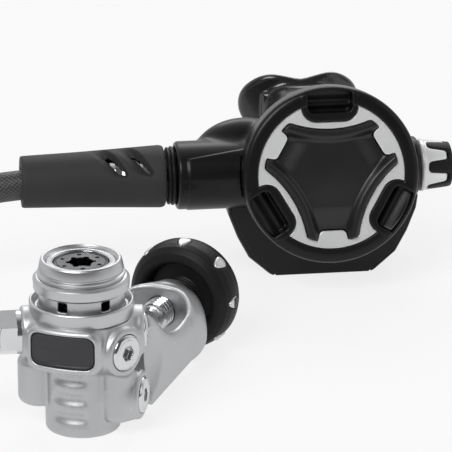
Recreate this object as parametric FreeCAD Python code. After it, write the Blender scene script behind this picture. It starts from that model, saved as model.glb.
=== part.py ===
import FreeCAD, Part
import math
import os

V = FreeCAD.Vector
Rotation = FreeCAD.Rotation
Placement = FreeCAD.Placement
os.makedirs("parts", exist_ok=True)

# Places of the two stages: the first stage stands on its base, the second on its exhaust tee
# The centring moves put the origin under the middle of the whole set
centringX, centringY = -0.46, 1.82
firstX, firstY = centringX - 66.0, centringY - 88.5
faceX, faceY, faceZ = centringX + 39.0, centringY + 25.7, 47.0
faceTilt = 12.5
barrelDepth = 21.0

# First stage, heights from the base
baseR = 13.0
lobeR = 18.4
blockLow, blockTop, bodyTop = 23.2, 41.4, 44.9
lobeTop = 25.6
lobeList = [(164.5, 15.03, 7.6, 8.0), (-39.5, 14.2, 5.8, 5.0)]
scoopAngle, scoopR, scoopDepth = -117.0, 3.4, 1.8
scoopHeights = (7.2, 14.2, 21.2)
diaphragmZ = 33.8
housingTop = 61.7
housingBore = 11.3
windowCount, windowAngle = 6, -1.2
collarR = 18.0
portPlugR = 6.4
plateAngle, plateReach, plateBow = -116.0, 19.9, 40.0
labelWide, labelTall, labelZ = 11.3, 5.7, 34.4
hosePortZ = 35.5

# Yoke, distances from the body axis along the yoke
yokeTurn = 57.5
yokeZ = 20.2
yokeNear, yokeSeatPlate = 17.5, 22.5
yokeInner, yokeOuter = 61.5, 70.0
yokeHalfWidth, windowHalfWidth = 18.5, 14.5
seatFace = 29.0
padTip, padLength, padR = 52.0, 2.6, 4.5
screwR = 5.5
screwPitch = 1.8
wheelNear, wheelFar, wheelR = 74.0, 89.0, 20.0
insertCount, insertAngle = 8, 0.5

# Second stage, in its own frame: x right, y up the face, z out of the face
coverR = 33.5
coverDepth = 10.0
caseR, caseDepth = 32.0, 35.0
shroudR, shroudEnd = 13.2, -57.0
knobBossEnd = 36.0
bulgeMiddle, bulgeSize = (-29.5, 4.6, -27.0), (20.5, 15.8, 11.0)
buttonReach, buttonWaist = 25.2, 17.1
notchReach, notchHalfAngle, fingerHalfAngle = 20.8, 12.6, 22.5

# Hose and sleeve
hoseR = 5.7
sleeveEnd, sleeveStart = -116.0, -61.1
ferruleBack = -82.0

# Mouthpiece and tee, in the row frame
mouthX, mouthZ = faceX - 1.5, 51.5
neckFront, mouthStart, mouthEnd = faceY + 18.3, faceY + 40.3, faceY + 69.3
teeFront, roofBend, teeRear = faceY + 19.8, faceY + 32.3, faceY + 56.3
teeTop, teeRearTop = 34.0, 27.0


def axisPlacement(origin, turn=0.0):
    return Placement(origin, Rotation(V(0, 0, 1), turn))


bodyFrame = axisPlacement(V(firstX, firstY, 0))
yokeFrame = axisPlacement(V(firstX, firstY, yokeZ), yokeTurn)
faceFrame = Placement(V(faceX, faceY, faceZ), Rotation(V(1, 0, 0), 90 - faceTilt))
barrelFrame = faceFrame.multiply(Placement(V(0, 0, -barrelDepth), Rotation()))
alongX = Placement(V(), Rotation(V(0, 1, 0), 90))


def turned(outline):
    """Solid of revolution about Z from (radius, height) points."""
    points = [V(r, 0, z) for r, z in outline]
    wire = Part.makePolygon(points + points[:1])
    return Part.Face(wire).revolve(V(), V(0, 0, 1), 360)


def turnedX(outline):
    """Solid of revolution about X from (distance along X, radius) points."""
    return placed(turned([(r, x) for x, r in outline]), alongX)


def placed(shape, placement):
    copy = shape.copy()
    copy.Placement = placement.multiply(copy.Placement)
    return copy


def ring(outer, inner, low, high):
    return turned([(inner, low), (outer, low), (outer, high), (inner, high)])


def ringX(outer, inner, low, high):
    return placed(ring(outer, inner, low, high), alongX)


def rod(radius, start, end):
    return Part.makeCylinder(radius, end - start, V(0, 0, start))


def rodX(radius, start, end):
    return Part.makeCylinder(radius, end - start, V(start, 0, 0), V(1, 0, 0))


def box(low, high):
    size = [b - a for a, b in zip(low, high)]
    return Part.makeBox(*size, V(*low))


def prism(points, low, high):
    wire = Part.makePolygon([V(x, y, low) for x, y in points + points[:1]])
    return Part.Face(wire).extrude(V(0, 0, high - low))


def hexagon(acrossFlats, low, high):
    reach = acrossFlats / math.sqrt(3)
    turns = [math.radians(60 * k) for k in range(6)]
    return prism([(reach * math.cos(t), reach * math.sin(t)) for t in turns], low, high)


def polar(radius, angle):
    turn = math.radians(angle)
    return V(radius * math.cos(turn), radius * math.sin(turn), 0)


def fuse(shapes):
    return shapes[0].multiFuse(shapes[1:]).removeSplitter()


def about(shape, angle, axis=V(0, 0, 1)):
    return placed(shape, Placement(V(), Rotation(axis, angle)))


def rounded(shape, radius, keep):
    edges = [edge for edge in shape.Edges if keep(edge)]
    return shape.makeFillet(radius, edges)


def biarc(start, startWay, end, endWay):
    """Two tangent arcs from one point and direction to another."""
    span = end - start
    both = startWay + endWay
    a = 2 * (1 - startWay.dot(endWay))
    b = 2 * span.dot(both)
    c = -span.dot(span)
    reach = -c / b if abs(a) < 1e-9 else (-b + math.sqrt(b * b - 4 * a * c)) / (2 * a)
    reach = abs(reach)
    middle = (start + startWay * reach + end - endWay * reach) * 0.5
    return [arcFrom(start, startWay, middle), arcFrom(end, endWay * -1, middle)]


def arcFrom(start, way, end):
    chord = end - start
    side = chord - way * chord.dot(way)
    if side.Length < 1e-7:
        return Part.LineSegment(start, end).toShape()
    side.normalize()
    radius = chord.dot(chord) / (2 * chord.dot(side))
    centre = start + side * radius
    out = (start - centre) + (end - centre)
    out.normalize()
    return Part.Arc(start, centre + out * abs(radius), end).toShape()


def coilSpring(radius, wire, turns, low, high):
    """A round-wire spring about Z, from biarcs of a quarter turn."""
    steps = int(round(turns * 4))
    rise = (high - low - wire) / steps
    slope = rise / (math.pi * radius / 2)

    def station(k):
        turn = math.pi / 2 * k
        point = V(radius * math.cos(turn), radius * math.sin(turn), low + wire / 2 + rise * k)
        way = V(-math.sin(turn), math.cos(turn), slope)
        way.normalize()
        return point, way

    edges = []
    for k in range(steps):
        start, startWay = station(k)
        end, endWay = station(k + 1)
        first, second = biarc(start, startWay, end, endWay)
        edges += [first, second]
    path = Part.Wire(Part.__sortEdges__(edges))
    start, way = station(0)
    section = Part.Wire(Part.Circle(start, way, wire / 2).toShape())
    return path.makePipeShell([section], True, False)


# First stage

def portBoss(angle, height, radius, reach):
    return Part.makeCylinder(radius, reach, V(0, 0, height), polar(1, angle))


portList = [
    ("front", -49.5, 32.2, 21.0),
    ("side", -8.5, 35.4, 21.5),
    ("low", -20.0, 13.0, 21.5),
]
hosePort = (180.0, hosePortZ, 21.0)


def gripLobes():
    """Two upright lobes that stand out of the round lower body."""
    lobes = []
    for angle, reach, radius, low in lobeList:
        lobe = Part.makeCylinder(radius, lobeTop - low, V(0, 0, low) + polar(reach, angle))
        lobe = rounded(lobe, 3.0, lambda e: e.Length > 30 and e.BoundBox.ZLength < 0.1)
        lobes.append(lobe)
    return lobes


def scoops():
    """Three straight finger scoops across the round lower body, one above the other."""
    cuts = []
    along = polar(1, scoopAngle + 90)
    for height in scoopHeights:
        middle = polar(baseR - scoopDepth + scoopR, scoopAngle) + V(0, 0, height)
        cuts.append(Part.makeCylinder(scoopR, 18.0, middle - along * 9.0, along))
    return cuts


def firstStageBody():
    foot = turned([(0, 0), (baseR - 1, 0), (baseR, 1), (baseR, blockLow + 1), (0, blockLow + 1)])
    block = turned([(0, blockLow), (baseR, blockLow), (lobeR, blockLow + 5), (lobeR, blockTop), (0, blockTop)])
    neck = rod(15.9, 40, bodyTop)
    bosses = [portBoss(angle, height, portPlugR + 2.2, reach) for name, angle, height, reach in portList]
    bosses.append(portBoss(hosePort[0], hosePort[1], 9.0, hosePort[2]))
    inletBoss = placed(rodX(13.0, 0, yokeNear), Placement(V(0, 0, yokeZ), Rotation(V(0, 0, 1), yokeTurn)))
    panel = frontPlate(labelWide + 1.5, 7.5, 33.85, 3.6, plateReach + 0.7, 9.0)
    solid = foot.multiFuse([block, neck, panel, inletBoss] + gripLobes() + bosses)
    solid = solid.common(turned([(0, 0), (26, 0), (26, 46), (0, 46)]))
    cuts = scoops()
    cuts.append(rod(14.95, diaphragmZ, bodyTop + 1))
    cuts.append(rod(12.4, 29.0, diaphragmZ + 0.5))
    cuts.append(rod(5.05, 20.4, 29.5))
    cuts.append(rod(6.4, 8.0, 21.0))
    cuts.append(rod(9.05, -1, 8.1))
    for name, angle, height, reach in portList:
        cuts.append(Part.makeCylinder(portPlugR + 0.05, 9.0, V(0, 0, height) + polar(reach - 2.6, angle),
                                      polar(1, angle)))
        depth = reach - 16.2
        cuts.append(Part.makeCylinder(4.8, depth, V(0, 0, height) + polar(reach - depth, angle),
                                      polar(1, angle)))
    angle, height, reach = hosePort
    cuts.append(Part.makeCylinder(4.8, 5.4, V(0, 0, height) + polar(reach - 5.2, angle), polar(1, angle)))
    inlet = Placement(V(0, 0, yokeZ), Rotation(V(0, 0, 1), yokeTurn))
    cuts.append(placed(rodX(9.55, 9.8, yokeNear + 1), inlet))
    cuts.append(placed(rodX(3.2, 4.0, 11.0), inlet))
    cuts.append(ring(collarR + 8, 15.9, blockTop, 48))
    cuts.append(frontPlate(labelWide, labelTall, labelZ, 3.0, plateReach + 0.7, 1.9))
    return placed(solid.cut(cuts), bodyFrame)


def frontPlate(halfWide, halfTall, height, corner, reach, depth):
    """Gently bowed plate with rounded corners, facing the front of the body."""
    facing = Rotation(V(0, 0, 1), plateAngle + 90).multiply(Rotation(V(1, 0, 0), 90))
    block = box((-halfWide, -halfTall, -depth - 3), (halfWide, halfTall, 6))
    block = rounded(block, corner, lambda e: e.BoundBox.ZLength > depth + 8)
    block = placed(block, Placement(polar(reach, plateAngle) + V(0, 0, height), facing))
    skin = Part.makeCylinder(plateBow, 60, polar(reach - plateBow, plateAngle))
    inner = Part.makeCylinder(plateBow - depth, 60, polar(reach - plateBow, plateAngle))
    return block.common(skin.cut(inner))


def labelPlate():
    slack = 0.03
    plate = frontPlate(labelWide - slack, labelTall - slack, labelZ, 3.0, plateReach - slack, 1.1)
    return placed(plate, bodyFrame)


def portPlugs():
    plugs = []
    for name, angle, height, reach in portList:
        head = turned([(0, 0.4), (4.6, 0.4), (4.6, 0.6),
                       (portPlugR - 0.05, 0.6), (portPlugR - 0.05, 2.6), (portPlugR - 1.2, 3.6), (0, 3.6)])
        shank = rod(4.7, -2.0, 0.5)
        plug = fuse([head, shank]).cut(hexagon(4.8, 0.9, 4))
        plug = about(plug, 90, V(0, 1, 0))
        plug = placed(plug, Placement(polar(reach - 2.6, angle) + V(0, 0, height),
                                      Rotation(V(0, 0, 1), angle)))
        plugs.append(placed(plug, bodyFrame))
    return Part.makeCompound(plugs)


def plugSeals():
    seals = []
    for name, angle, height, reach in portList:
        seal = ring(6.0, 4.72, 0.02, 0.55)
        seal = about(seal, 90, V(0, 1, 0))
        seal = placed(seal, Placement(polar(reach - 2.6, angle) + V(0, 0, height),
                                      Rotation(V(0, 0, 1), angle)))
        seals.append(placed(seal, bodyFrame))
    seals.append(placed(ring(9.0, 7.6, 3.4, 4.6), bodyFrame))
    return Part.makeCompound(seals)


def balancePlug():
    plug = turned([(0, 0.6), (8.4, 0.6), (9.0, 1.2), (9.0, 3.3), (7.55, 3.3), (7.55, 4.7), (9.0, 4.7),
                   (9.0, 7.9), (0, 7.9)])
    socket = hexagon(6.0, 0.5, 4.5)
    return placed(plug.cut(socket), bodyFrame)


def collarRing():
    foot = blockTop + 0.05
    outline = [(15.95, foot), (collarR - 0.6, foot), (collarR, foot + 0.6), (collarR, 46.5),
               (collarR - 0.4, 47.0), (collarR - 0.8, 47.0), (15.95, 45.0)]
    return placed(turned(outline), bodyFrame)


def springHousing():
    outline = [(housingBore, 35.05), (14.9, 35.05), (14.9, 50.4), (15.4, 50.8), (16.5, 51.2),
               (16.6, 54.6), (15.2, 55.6), (14.4, 55.6), (14.4, 56.0), (15.0, 56.3),
               (15.0, 56.9), (14.2, 57.2), (14.2, 57.8), (14.6, 58.2), (14.5, 60.9),
               (13.7, housingTop), (12.6, housingTop), (12.1, 61.0), (12.1, 57.9),
               (housingBore, 57.9)]
    tube = turned(outline)
    windows = []
    for k in range(windowCount):
        window = rounded(box((10, -1.7, 46.6), (16, 1.7, 50.0)), 0.6, lambda e: e.BoundBox.XLength > 5)
        windows.append(about(window, 360 / windowCount * k + windowAngle))
    return placed(tube.cut(windows), bodyFrame)


def lockRing():
    return placed(turned([(9.65, 58.5), (12.05, 58.5), (12.05, 60.2), (11.4, 60.8), (10.2, 60.8),
                          (9.65, 60.3)]), bodyFrame)


def adjustingScrew():
    outline = [(0, 52.2), (11.2, 52.2), (11.2, 57.6), (9.55, 57.6), (9.55, 59.6), (9.0, 60.1), (0, 60.1)]
    screw = turned(outline)
    socket = hexagon(8.0, 54.6, 61)
    pins = []
    for k in range(6):
        pins.append(Part.makeCylinder(0.7, 2, V(0, 0, 59.2) + polar(6.9, 60 * k + 30)))
    return placed(screw.cut([socket] + pins), bodyFrame)


def springWasher():
    return placed(turned([(0, 50.6), (7.4, 50.6), (7.4, 51.0), (10.8, 51.0), (10.8, 52.15), (0, 52.15)]),
                  bodyFrame)


def mainSpring():
    return placed(coilSpring(8.9, 2.0, 4.5, 37.9, 50.55), bodyFrame)


def springButton():
    outline = [(0, 35.1), (9.6, 35.1), (10.6, 35.9), (10.6, 37.2), (7.2, 37.2), (7.2, 39.4), (6.2, 40.2),
               (0, 40.2)]
    return placed(turned(outline), bodyFrame)


def firstDiaphragm():
    return placed(turned([(0, 33.85), (14.85, 33.85), (14.85, 35.0), (0, 35.0)]), bodyFrame)


def liftPin():
    foot = turned([(0, 32.3), (7.5, 32.3), (7.5, 33.75), (0, 33.75)])
    pin = rod(1.2, 21.9, 32.4)
    return placed(fuse([foot, pin]), bodyFrame)


def firstOrifice():
    outline = [(1.7, 20.6), (3.0, 20.6), (3.3, 21.2), (5.0, 21.6), (5.0, 28.6), (1.7, 28.6)]
    return placed(turned(outline), bodyFrame)


def firstPoppet():
    outline = [(0, 14.2), (2.4, 14.2), (2.4, 17.0), (4.8, 17.0), (4.8, 19.6), (2.6, 19.9), (1.1, 19.9),
               (1.1, 21.85), (0, 21.85)]
    return placed(turned(outline), bodyFrame)


def firstPoppetSpring():
    return placed(coilSpring(3.6, 0.8, 4, 8.0, 16.1), bodyFrame)


# Yoke and handwheel

def yoke():
    """A closed loop that tapers to the wheel, with an oval window for the tank valve."""
    flatEnd = 9.5
    shoulder = 50.0
    sideArc = V(64.9, 16.2, 0)
    edges = [
        Part.LineSegment(V(yokeNear, -yokeHalfWidth, 0), V(shoulder, -yokeHalfWidth, 0)),
        Part.Arc(V(shoulder, -yokeHalfWidth, 0), V(sideArc.x, -sideArc.y, 0), V(yokeOuter, -flatEnd, 0)),
        Part.LineSegment(V(yokeOuter, -flatEnd, 0), V(yokeOuter, flatEnd, 0)),
        Part.Arc(V(yokeOuter, flatEnd, 0), V(sideArc.x, sideArc.y, 0), V(shoulder, yokeHalfWidth, 0)),
        Part.LineSegment(V(shoulder, yokeHalfWidth, 0), V(yokeNear, yokeHalfWidth, 0)),
        Part.LineSegment(V(yokeNear, yokeHalfWidth, 0), V(yokeNear, -yokeHalfWidth, 0)),
    ]
    plan = Part.Face(Part.Wire([edge.toShape() for edge in edges])).extrude(V(0, 0, 50))
    plan.translate(V(0, 0, -25))
    side = [(yokeNear, -18.0), (yokeNear, 16.5), (34, 14.6), (52, 11.4), (yokeOuter, 8.6),
            (yokeOuter, -9.6), (48, -13.4)]
    wall = Part.Face(Part.makePolygon([V(x, 0, z) for x, z in side + side[:1]])).extrude(V(0, 60, 0))
    wall.translate(V(0, -30, 0))
    loop = plan.common(wall)
    boss = rodX(9.0, yokeOuter - 1, yokeOuter + 1.5)
    corner = 6.0
    window = [
        Part.LineSegment(V(yokeSeatPlate, -windowHalfWidth, 0), V(50, -windowHalfWidth, 0)),
        Part.Arc(V(50, -windowHalfWidth, 0), V(50 + 8.6, -10.8, 0), V(yokeInner, -3.5, 0)),
        Part.LineSegment(V(yokeInner, -3.5, 0), V(yokeInner, 3.5, 0)),
        Part.Arc(V(yokeInner, 3.5, 0), V(50 + 8.6, 10.8, 0), V(50, windowHalfWidth, 0)),
        Part.LineSegment(V(50, windowHalfWidth, 0), V(yokeSeatPlate, windowHalfWidth, 0)),
        Part.LineSegment(V(yokeSeatPlate, windowHalfWidth, 0), V(yokeSeatPlate, -windowHalfWidth, 0)),
    ]
    hole = Part.Face(Part.Wire([edge.toShape() for edge in window])).extrude(V(0, 0, 60))
    hole.translate(V(0, 0, -30))
    loop = fuse([loop, boss])
    crown = Part.makeCylinder(20.0, 90, V(-4, 0, 9.5), V(52, 0, -15.4))
    loop = loop.common(fuse([crown, box((0, -30, -30), (90, 30, 0))]))
    dip = Part.makeCylinder(17.0, 80, V(42, -40, 20.0), V(0, 1, 0))
    belly = Part.makeCylinder(40.0, 80, V(41, -40, -53.5), V(0, 1, 0))
    cuts = [hole, dip, belly, rodX(9.6, yokeNear - 1, yokeSeatPlate + 1),
            rodX(screwR + 0.05, yokeInner - 6, yokeOuter + 3)]
    loop = placed(loop.cut(cuts), yokeFrame)
    keep = placed(rod(lobeR + 0.02, 24.9, 47.2), bodyFrame)
    loop = loop.cut([keep, firstStageBody(), collarClearance()])
    return max(loop.Solids, key=lambda s: s.Volume)


def collarClearance():
    return placed(rod(collarR + 0.3, blockTop - 0.2, 48), bodyFrame)


def yokeRetainer():
    head = placed(hexagon(21.0, 0, 4.4), Placement(V(yokeSeatPlate + 0.02, 0, 0), Rotation(V(0, 1, 0), 90)))
    head = head.common(turnedX([(yokeSeatPlate, 0), (yokeSeatPlate, 11.4), (yokeSeatPlate + 3.4, 11.4),
                                (yokeSeatPlate + 4.6, 10.2), (yokeSeatPlate + 4.6, 0)]))
    nose = turnedX([(yokeSeatPlate + 4, 0), (yokeSeatPlate + 4, 8.9), (seatFace - 0.5, 8.9),
                    (seatFace, 8.4), (seatFace, 0)])
    shank = rodX(9.5, 11.2, yokeSeatPlate + 0.1)
    stop = rodX(7.4, 10.0, 11.3)
    nut = fuse([head, nose, shank, stop])
    return placed(nut.cut([rodX(4.6, 9, 30), ringX(9.6, 8.3, 12.6, 14.0)]), yokeFrame)


def retainerSeal():
    return placed(ringX(9.5, 8.35, 12.7, 13.9), yokeFrame)


def inletFilter():
    return placed(turnedX([(12.0, 0), (12.0, 4.5), (13.4, 4.5), (25.0, 1.8), (25.0, 0)]), yokeFrame)


def filterClip():
    return placed(turnedX([(10.2, 2.6), (10.2, 4.5), (11.9, 4.5), (11.9, 2.6)]), yokeFrame)


def thrustPad():
    head = turnedX([(padTip, 0), (padTip, padR - 1.0), (padTip + 0.6, padR), (padTip + padLength, padR),
                    (padTip + padLength, 0)])
    stem = rodX(2.0, padTip + padLength - 0.1, padTip + padLength + 3.0)
    return placed(fuse([head, stem]), yokeFrame)


def yokeScrew():
    start = padTip + padLength + 0.1
    outline = [(start, 0), (start, screwR - 0.9)]
    x = start
    while x < wheelNear:
        outline += [(x + 0.45, screwR - 0.02), (x + 0.9, screwR - 0.02), (x + 1.35, screwR - 0.7)]
        x += screwPitch
    outline += [(wheelNear + 1.6, 4.8), (wheelFar - 3.2, 4.8), (wheelFar - 3.2, 0)]
    screw = turnedX(outline)
    socket = rodX(2.05, start - 1, start + 3.4)
    thread = rodX(2.5, wheelFar - 12, wheelFar)
    return placed(screw.cut([socket, thread]), yokeFrame)


def handwheelHub():
    start = yokeOuter + 5.6
    outline = [(start, 4.85), (start, 7.0), (79.0, 7.4), (79.0, 12.45), (84.0, 12.45), (84.0, 8.2),
               (wheelFar - 3.0, 8.2),
               (wheelFar - 3.0, 4.85)]
    return placed(turnedX(outline), yokeFrame)


def gripPegs(extra):
    pegs = []
    for k in range(insertCount):
        x = wheelNear + 7.5
        peg = Part.makeCylinder(2.3 + extra, 5.2, V(x, 0, 15.0), V(0.0, 0, 1))
        peg = peg.fuse(Part.makeSphere(2.3 + extra, V(x, 0, 18.2)))
        peg = peg.common(Part.makeCylinder(wheelR + 0.1, 30, V(60, 0, 0), V(1, 0, 0)))
        pegs.append(about(peg, 360 / insertCount * k + insertAngle, V(1, 0, 0)))
    return pegs


def handwheelGrip():
    points = [V(wheelNear + 5.0, 0, 12.5), V(wheelNear + 1.0, 0, 13.6), V(wheelNear, 0, 15.4),
              V(wheelNear + 2.6, 0, 19.0), V(wheelNear + 7.5, 0, wheelR), V(wheelFar - 2.4, 0, 19.0),
              V(wheelFar, 0, 15.6), V(wheelFar - 1.0, 0, 13.2), V(wheelFar - 5.0, 0, 12.5)]
    edges = [
        Part.Arc(points[0], V(wheelNear + 2.6, 0, 12.8), points[1]),
        Part.Arc(points[1], V(wheelNear + 0.2, 0, 14.4), points[2]),
        Part.Arc(points[2], V(wheelNear + 0.8, 0, 17.4), points[3]),
        Part.Arc(points[3], V(wheelNear + 4.9, 0, 19.8), points[4]),
        Part.Arc(points[4], V(wheelFar - 4.8, 0, 19.8), points[5]),
        Part.Arc(points[5], V(wheelFar - 0.7, 0, 17.4), points[6]),
        Part.Arc(points[6], V(wheelFar - 0.2, 0, 14.2), points[7]),
        Part.Arc(points[7], V(wheelFar - 2.8, 0, 12.7), points[8]),
        Part.LineSegment(points[8], points[0]),
    ]
    tyre = Part.Face(Part.Wire([edge.toShape() for edge in edges])).revolve(V(), V(1, 0, 0), 360)
    return placed(tyre.cut(gripPegs(0.02)), yokeFrame)


def gripInserts():
    return placed(Part.makeCompound(gripPegs(0)), yokeFrame)


def wheelScrew():
    head = turnedX([(wheelFar - 2.95, 0), (wheelFar - 2.95, 7.6), (wheelFar - 1.6, 7.6),
                    (wheelFar - 0.9, 6.8), (wheelFar - 0.9, 0)])
    shank = rodX(2.45, wheelFar - 11, wheelFar - 2.9)
    socket = placed(hexagon(4.0, wheelFar - 2.6, wheelFar), alongX)
    return placed(fuse([head, shank]).cut(socket), yokeFrame)


# Hose

barrelY = faceY + barrelDepth * math.cos(math.radians(faceTilt))
barrelZ = faceZ - barrelDepth * math.sin(math.radians(faceTilt))
loopR = (barrelY - firstY) / 2
loopMiddle = V(-236, (barrelY + firstY) / 2, 5.8)
hoseRoute = [
    V(faceX + ferruleBack, barrelY, barrelZ),
    V(-107, barrelY, barrelZ),
    V(-166, barrelY + 1, 13),
    V(-213, barrelY, 5.9),
    *[loopMiddle + polar(loopR / math.cos(math.pi / 10), 108 + 36 * k) for k in range(5)],
    V(-206, firstY - 1, 7.5),
    V(-151, firstY, hosePortZ),
    V(firstX - 42, firstY, hosePortZ),
]


def hoseTube():
    """Straight runs joined by tangent arcs, as large as the runs allow."""
    edges = []
    last = hoseRoute[0]
    for before, corner, after in zip(hoseRoute, hoseRoute[1:], hoseRoute[2:]):
        way, leave = corner - before, after - corner
        reach = 0.45 * min(way.Length, leave.Length)
        turn = way.getAngle(leave)
        way.normalize()
        leave.normalize()
        start, end = corner - way * reach, corner + leave * reach
        radius = reach / math.tan(turn / 2)
        print("hose bend radius", round(radius, 1), "at", round(corner.x), round(corner.y), round(corner.z))
        inward = leave - way
        inward.normalize()
        middle = corner + inward * (math.hypot(radius, reach) - radius)
        edges.append(Part.LineSegment(last, start).toShape())
        edges.append(Part.Arc(start, middle, end).toShape())
        last = end
    edges.append(Part.LineSegment(last, hoseRoute[-1]).toShape())
    path = Part.Wire(edges)
    section = Part.Wire(Part.Circle(hoseRoute[0], hoseRoute[1] - hoseRoute[0], hoseR).toShape())
    tube = path.makePipeShell([section], True, False)
    print("hose length", round(path.Length, 1), "volume over section",
          round(tube.Volume / (math.pi * hoseR ** 2), 1))
    return tube


def hoseSleeve():
    """The rubber sleeve over the hose end, with two slanted scoops."""
    outline = [(sleeveEnd, 5.78), (sleeveEnd, 8.6), (sleeveEnd + 1.2, 9.8), (sleeveEnd + 22, 10.3),
               (sleeveStart - 2.4, 11.8), (sleeveStart, 10.8), (sleeveStart, 5.3),
               (sleeveStart - 1.6, 5.3), (sleeveStart - 1.6, 8.1), (ferruleBack - 1.0, 8.1),
               (ferruleBack - 3.4, 5.78)]
    sleeve = turnedX(outline)
    cuts = []
    for middle, length in ((-85.5, 17.5), (-72.8, 15.5)):
        slot = Part.makeCylinder(2.6, 40, V(0, 0, 0), V(0, 0, 1))
        matrix = FreeCAD.Matrix()
        matrix.scale(length / 5.2, 1.0, 1.0)
        slot = slot.transformGeometry(matrix)
        slot = placed(slot, Placement(V(middle, 0.6, 8.6), Rotation(V(0, 0, 1), -38)))
        cuts.append(slot)
    sleeve = sleeve.cut(cuts)
    return placed(max(sleeve.Solids, key=lambda s: s.Volume), barrelFrame)


def ferruleSecond():
    ribs = [(ferruleBack, 0), (ferruleBack, 7.2)]
    for x in (-79.0, -75.5, -72.0, -68.5):
        ribs += [(x - 1.2, 7.8), (x + 1.0, 7.8), (x + 1.1, 7.3)]
    ribs += [(-64.0, 7.8), (-63.4, 7.2), (-63.4, 0)]
    shell = turnedX(ribs)
    return placed(shell.cut(rodX(4.62, -80.0, -60)), barrelFrame)


def hoseStem():
    outline = [(-79.9, 2.0), (-79.9, 4.6), (-63.3, 4.6), (-63.3, 4.8), (-53.4, 4.8), (-53.4, 7.0),
               (-51.6, 7.0), (-51.6, 4.9), (-50.6, 4.9), (-50.6, 3.9), (-49.2, 3.9), (-49.2, 4.9), (-48.2, 4.9), (-48.2, 2.0)]
    return placed(turnedX(outline), barrelFrame)


def stemSeal():
    return placed(ringX(4.98, 3.95, -50.5, -49.3), barrelFrame)


def swivelNut():
    outline = [(-60.5, 4.87), (-60.5, 10.2), (-60.1, 10.9), (-59.4, 10.9), (-59.1, 10.2), (-58.8, 11.2),
               (-58.0, 11.2), (-57.7, 10.4), (-57.3, 10.4), (-57.0, 8.8), (-46.0, 8.8), (-46.0, 7.1),
               (-53.5, 7.1), (-53.5, 4.87)]
    return placed(turnedX(outline), barrelFrame)


def hoseFitting():
    """Threaded end, hexagon and crimp sleeve at the first stage."""
    toBody = Placement(V(0, 0, hosePort[1]), Rotation(V(0, 0, 1), hosePort[0])).multiply(alongX)
    reach = hosePort[2]
    thread = rod(4.7, reach - 4.6, reach + 0.6)
    flange = rod(7.6, reach + 0.02, reach + 1.6)
    nut = hexagon(14.0, reach + 1.5, reach + 7.5)
    nut = nut.common(turned([(0, reach), (8.1, reach), (8.1, reach + 6.8), (7.3, reach + 7.5),
                             (0, reach + 7.5)]))
    rings = [(0, 7.4), (6.2, 7.4), (6.4, 8.4), (7.4, 8.8), (7.4, 12.6), (7.0, 12.9), (7.4, 13.2),
             (7.4, 16.4), (7.0, 16.7), (7.4, 17.0), (7.4, 20.4), (6.9, 21.0), (0, 21.0)]
    crimp = turned([(r, reach + along) for r, along in rings])
    fitting = fuse([thread, flange, nut, crimp]).cut(rod(2.0, 10, reach + 20))
    return placed(placed(fitting, toBody), bodyFrame)


# Second stage

def caseSide(gap):
    """Outside of the case from the cover to the rear, grown by gap."""
    points = [(caseR, -15), (31.2, -20), (28.4, -26), (23.5, -31), (17, -34), (9, -caseDepth),
              (0, -caseDepth)]
    grown = [(r + gap if r else 0, z - gap) for r, z in points]
    return [(caseR + gap, -10.4)] + grown


def inletBulge(gap=0):
    """Egg-shaped swelling of the case behind the inlet, kept clear of the cover."""
    matrix = FreeCAD.Matrix()
    matrix.scale(*[size + gap for size in bulgeSize])
    egg = Part.makeSphere(1.0).transformGeometry(matrix)
    egg.translate(V(*bulgeMiddle))
    return egg.cut(box((-60, -40, gap - coverDepth - 0.2), (60, 40, 20)))


def secondCase():
    outer = turned([(0, -10.2), (caseR, -10.2)] + caseSide(0))
    shroud = turnedX([(shroudEnd, 0), (shroudEnd, 12.0), (shroudEnd + 1.2, shroudR), (-24, shroudR),
                      (-24, 0)])
    boss = turnedX([(20, 0), (20, 11.5), (knobBossEnd - 1.0, 10.2), (knobBossEnd, 9.4), (knobBossEnd, 0)])
    case = fuse([placed(outer, faceFrame), placed(shroud, barrelFrame), placed(boss, barrelFrame),
                 placed(inletBulge(), faceFrame)])
    neck = mouthTube(12.6, 7.6, neckFront, mouthStart + 2.0)
    case = case.fuse(neck).removeSplitter()
    inner = turned([(0, -9), (caseR - 1.6, -9), (caseR - 1.6, -11.8), (26.2, -11.8), (caseR - 3.6, -16),
                    (29.0, -20),
                    (26.6, -25), (22.0, -29.2), (16, -32), (8, -33), (0, -33)])
    hollow = placed(inner, faceFrame)
    bore = mouthTube(10.6, 5.6, neckFront, mouthStart + 4)
    coverSpace = placed(rod(coverR + 0.1, -coverDepth - 0.15, 5), faceFrame)
    lid = placed(rod(caseR, -coverDepth - 0.2, 5), faceFrame)
    cuts = [hollow, bore, coverSpace, lid]
    cuts.append(placed(rodX(11.3, shroudEnd - 1, -46), barrelFrame))
    cuts.append(placed(rodX(8.0, -47, -23.4), barrelFrame))
    cuts.append(placed(rodX(6.3, 18, knobBossEnd + 1), barrelFrame))
    cuts.append(placed(rod(8.0, -8, 8), exhaustFrame))
    return case.cut(cuts)


exhaustFrame = Placement(V(faceX, faceY + 27.9, 20.8), Rotation(V(1, 0, 0), 42))


def mouthTube(halfWide, halfTall, start, end):
    """Oval tube along Y, made of two half rounds joined by flats."""
    flat = halfWide - halfTall
    edges = [
        Part.LineSegment(V(-flat, 0, halfTall), V(flat, 0, halfTall)),
        Part.Arc(V(flat, 0, halfTall), V(halfWide, 0, 0), V(flat, 0, -halfTall)),
        Part.LineSegment(V(flat, 0, -halfTall), V(-flat, 0, -halfTall)),
        Part.Arc(V(-flat, 0, -halfTall), V(-halfWide, 0, 0), V(-flat, 0, halfTall)),
    ]
    face = Part.Face(Part.Wire([edge.toShape() for edge in edges]))
    tube = face.extrude(V(0, end - start, 0))
    tube.translate(V(mouthX, start, mouthZ))
    return tube


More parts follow.
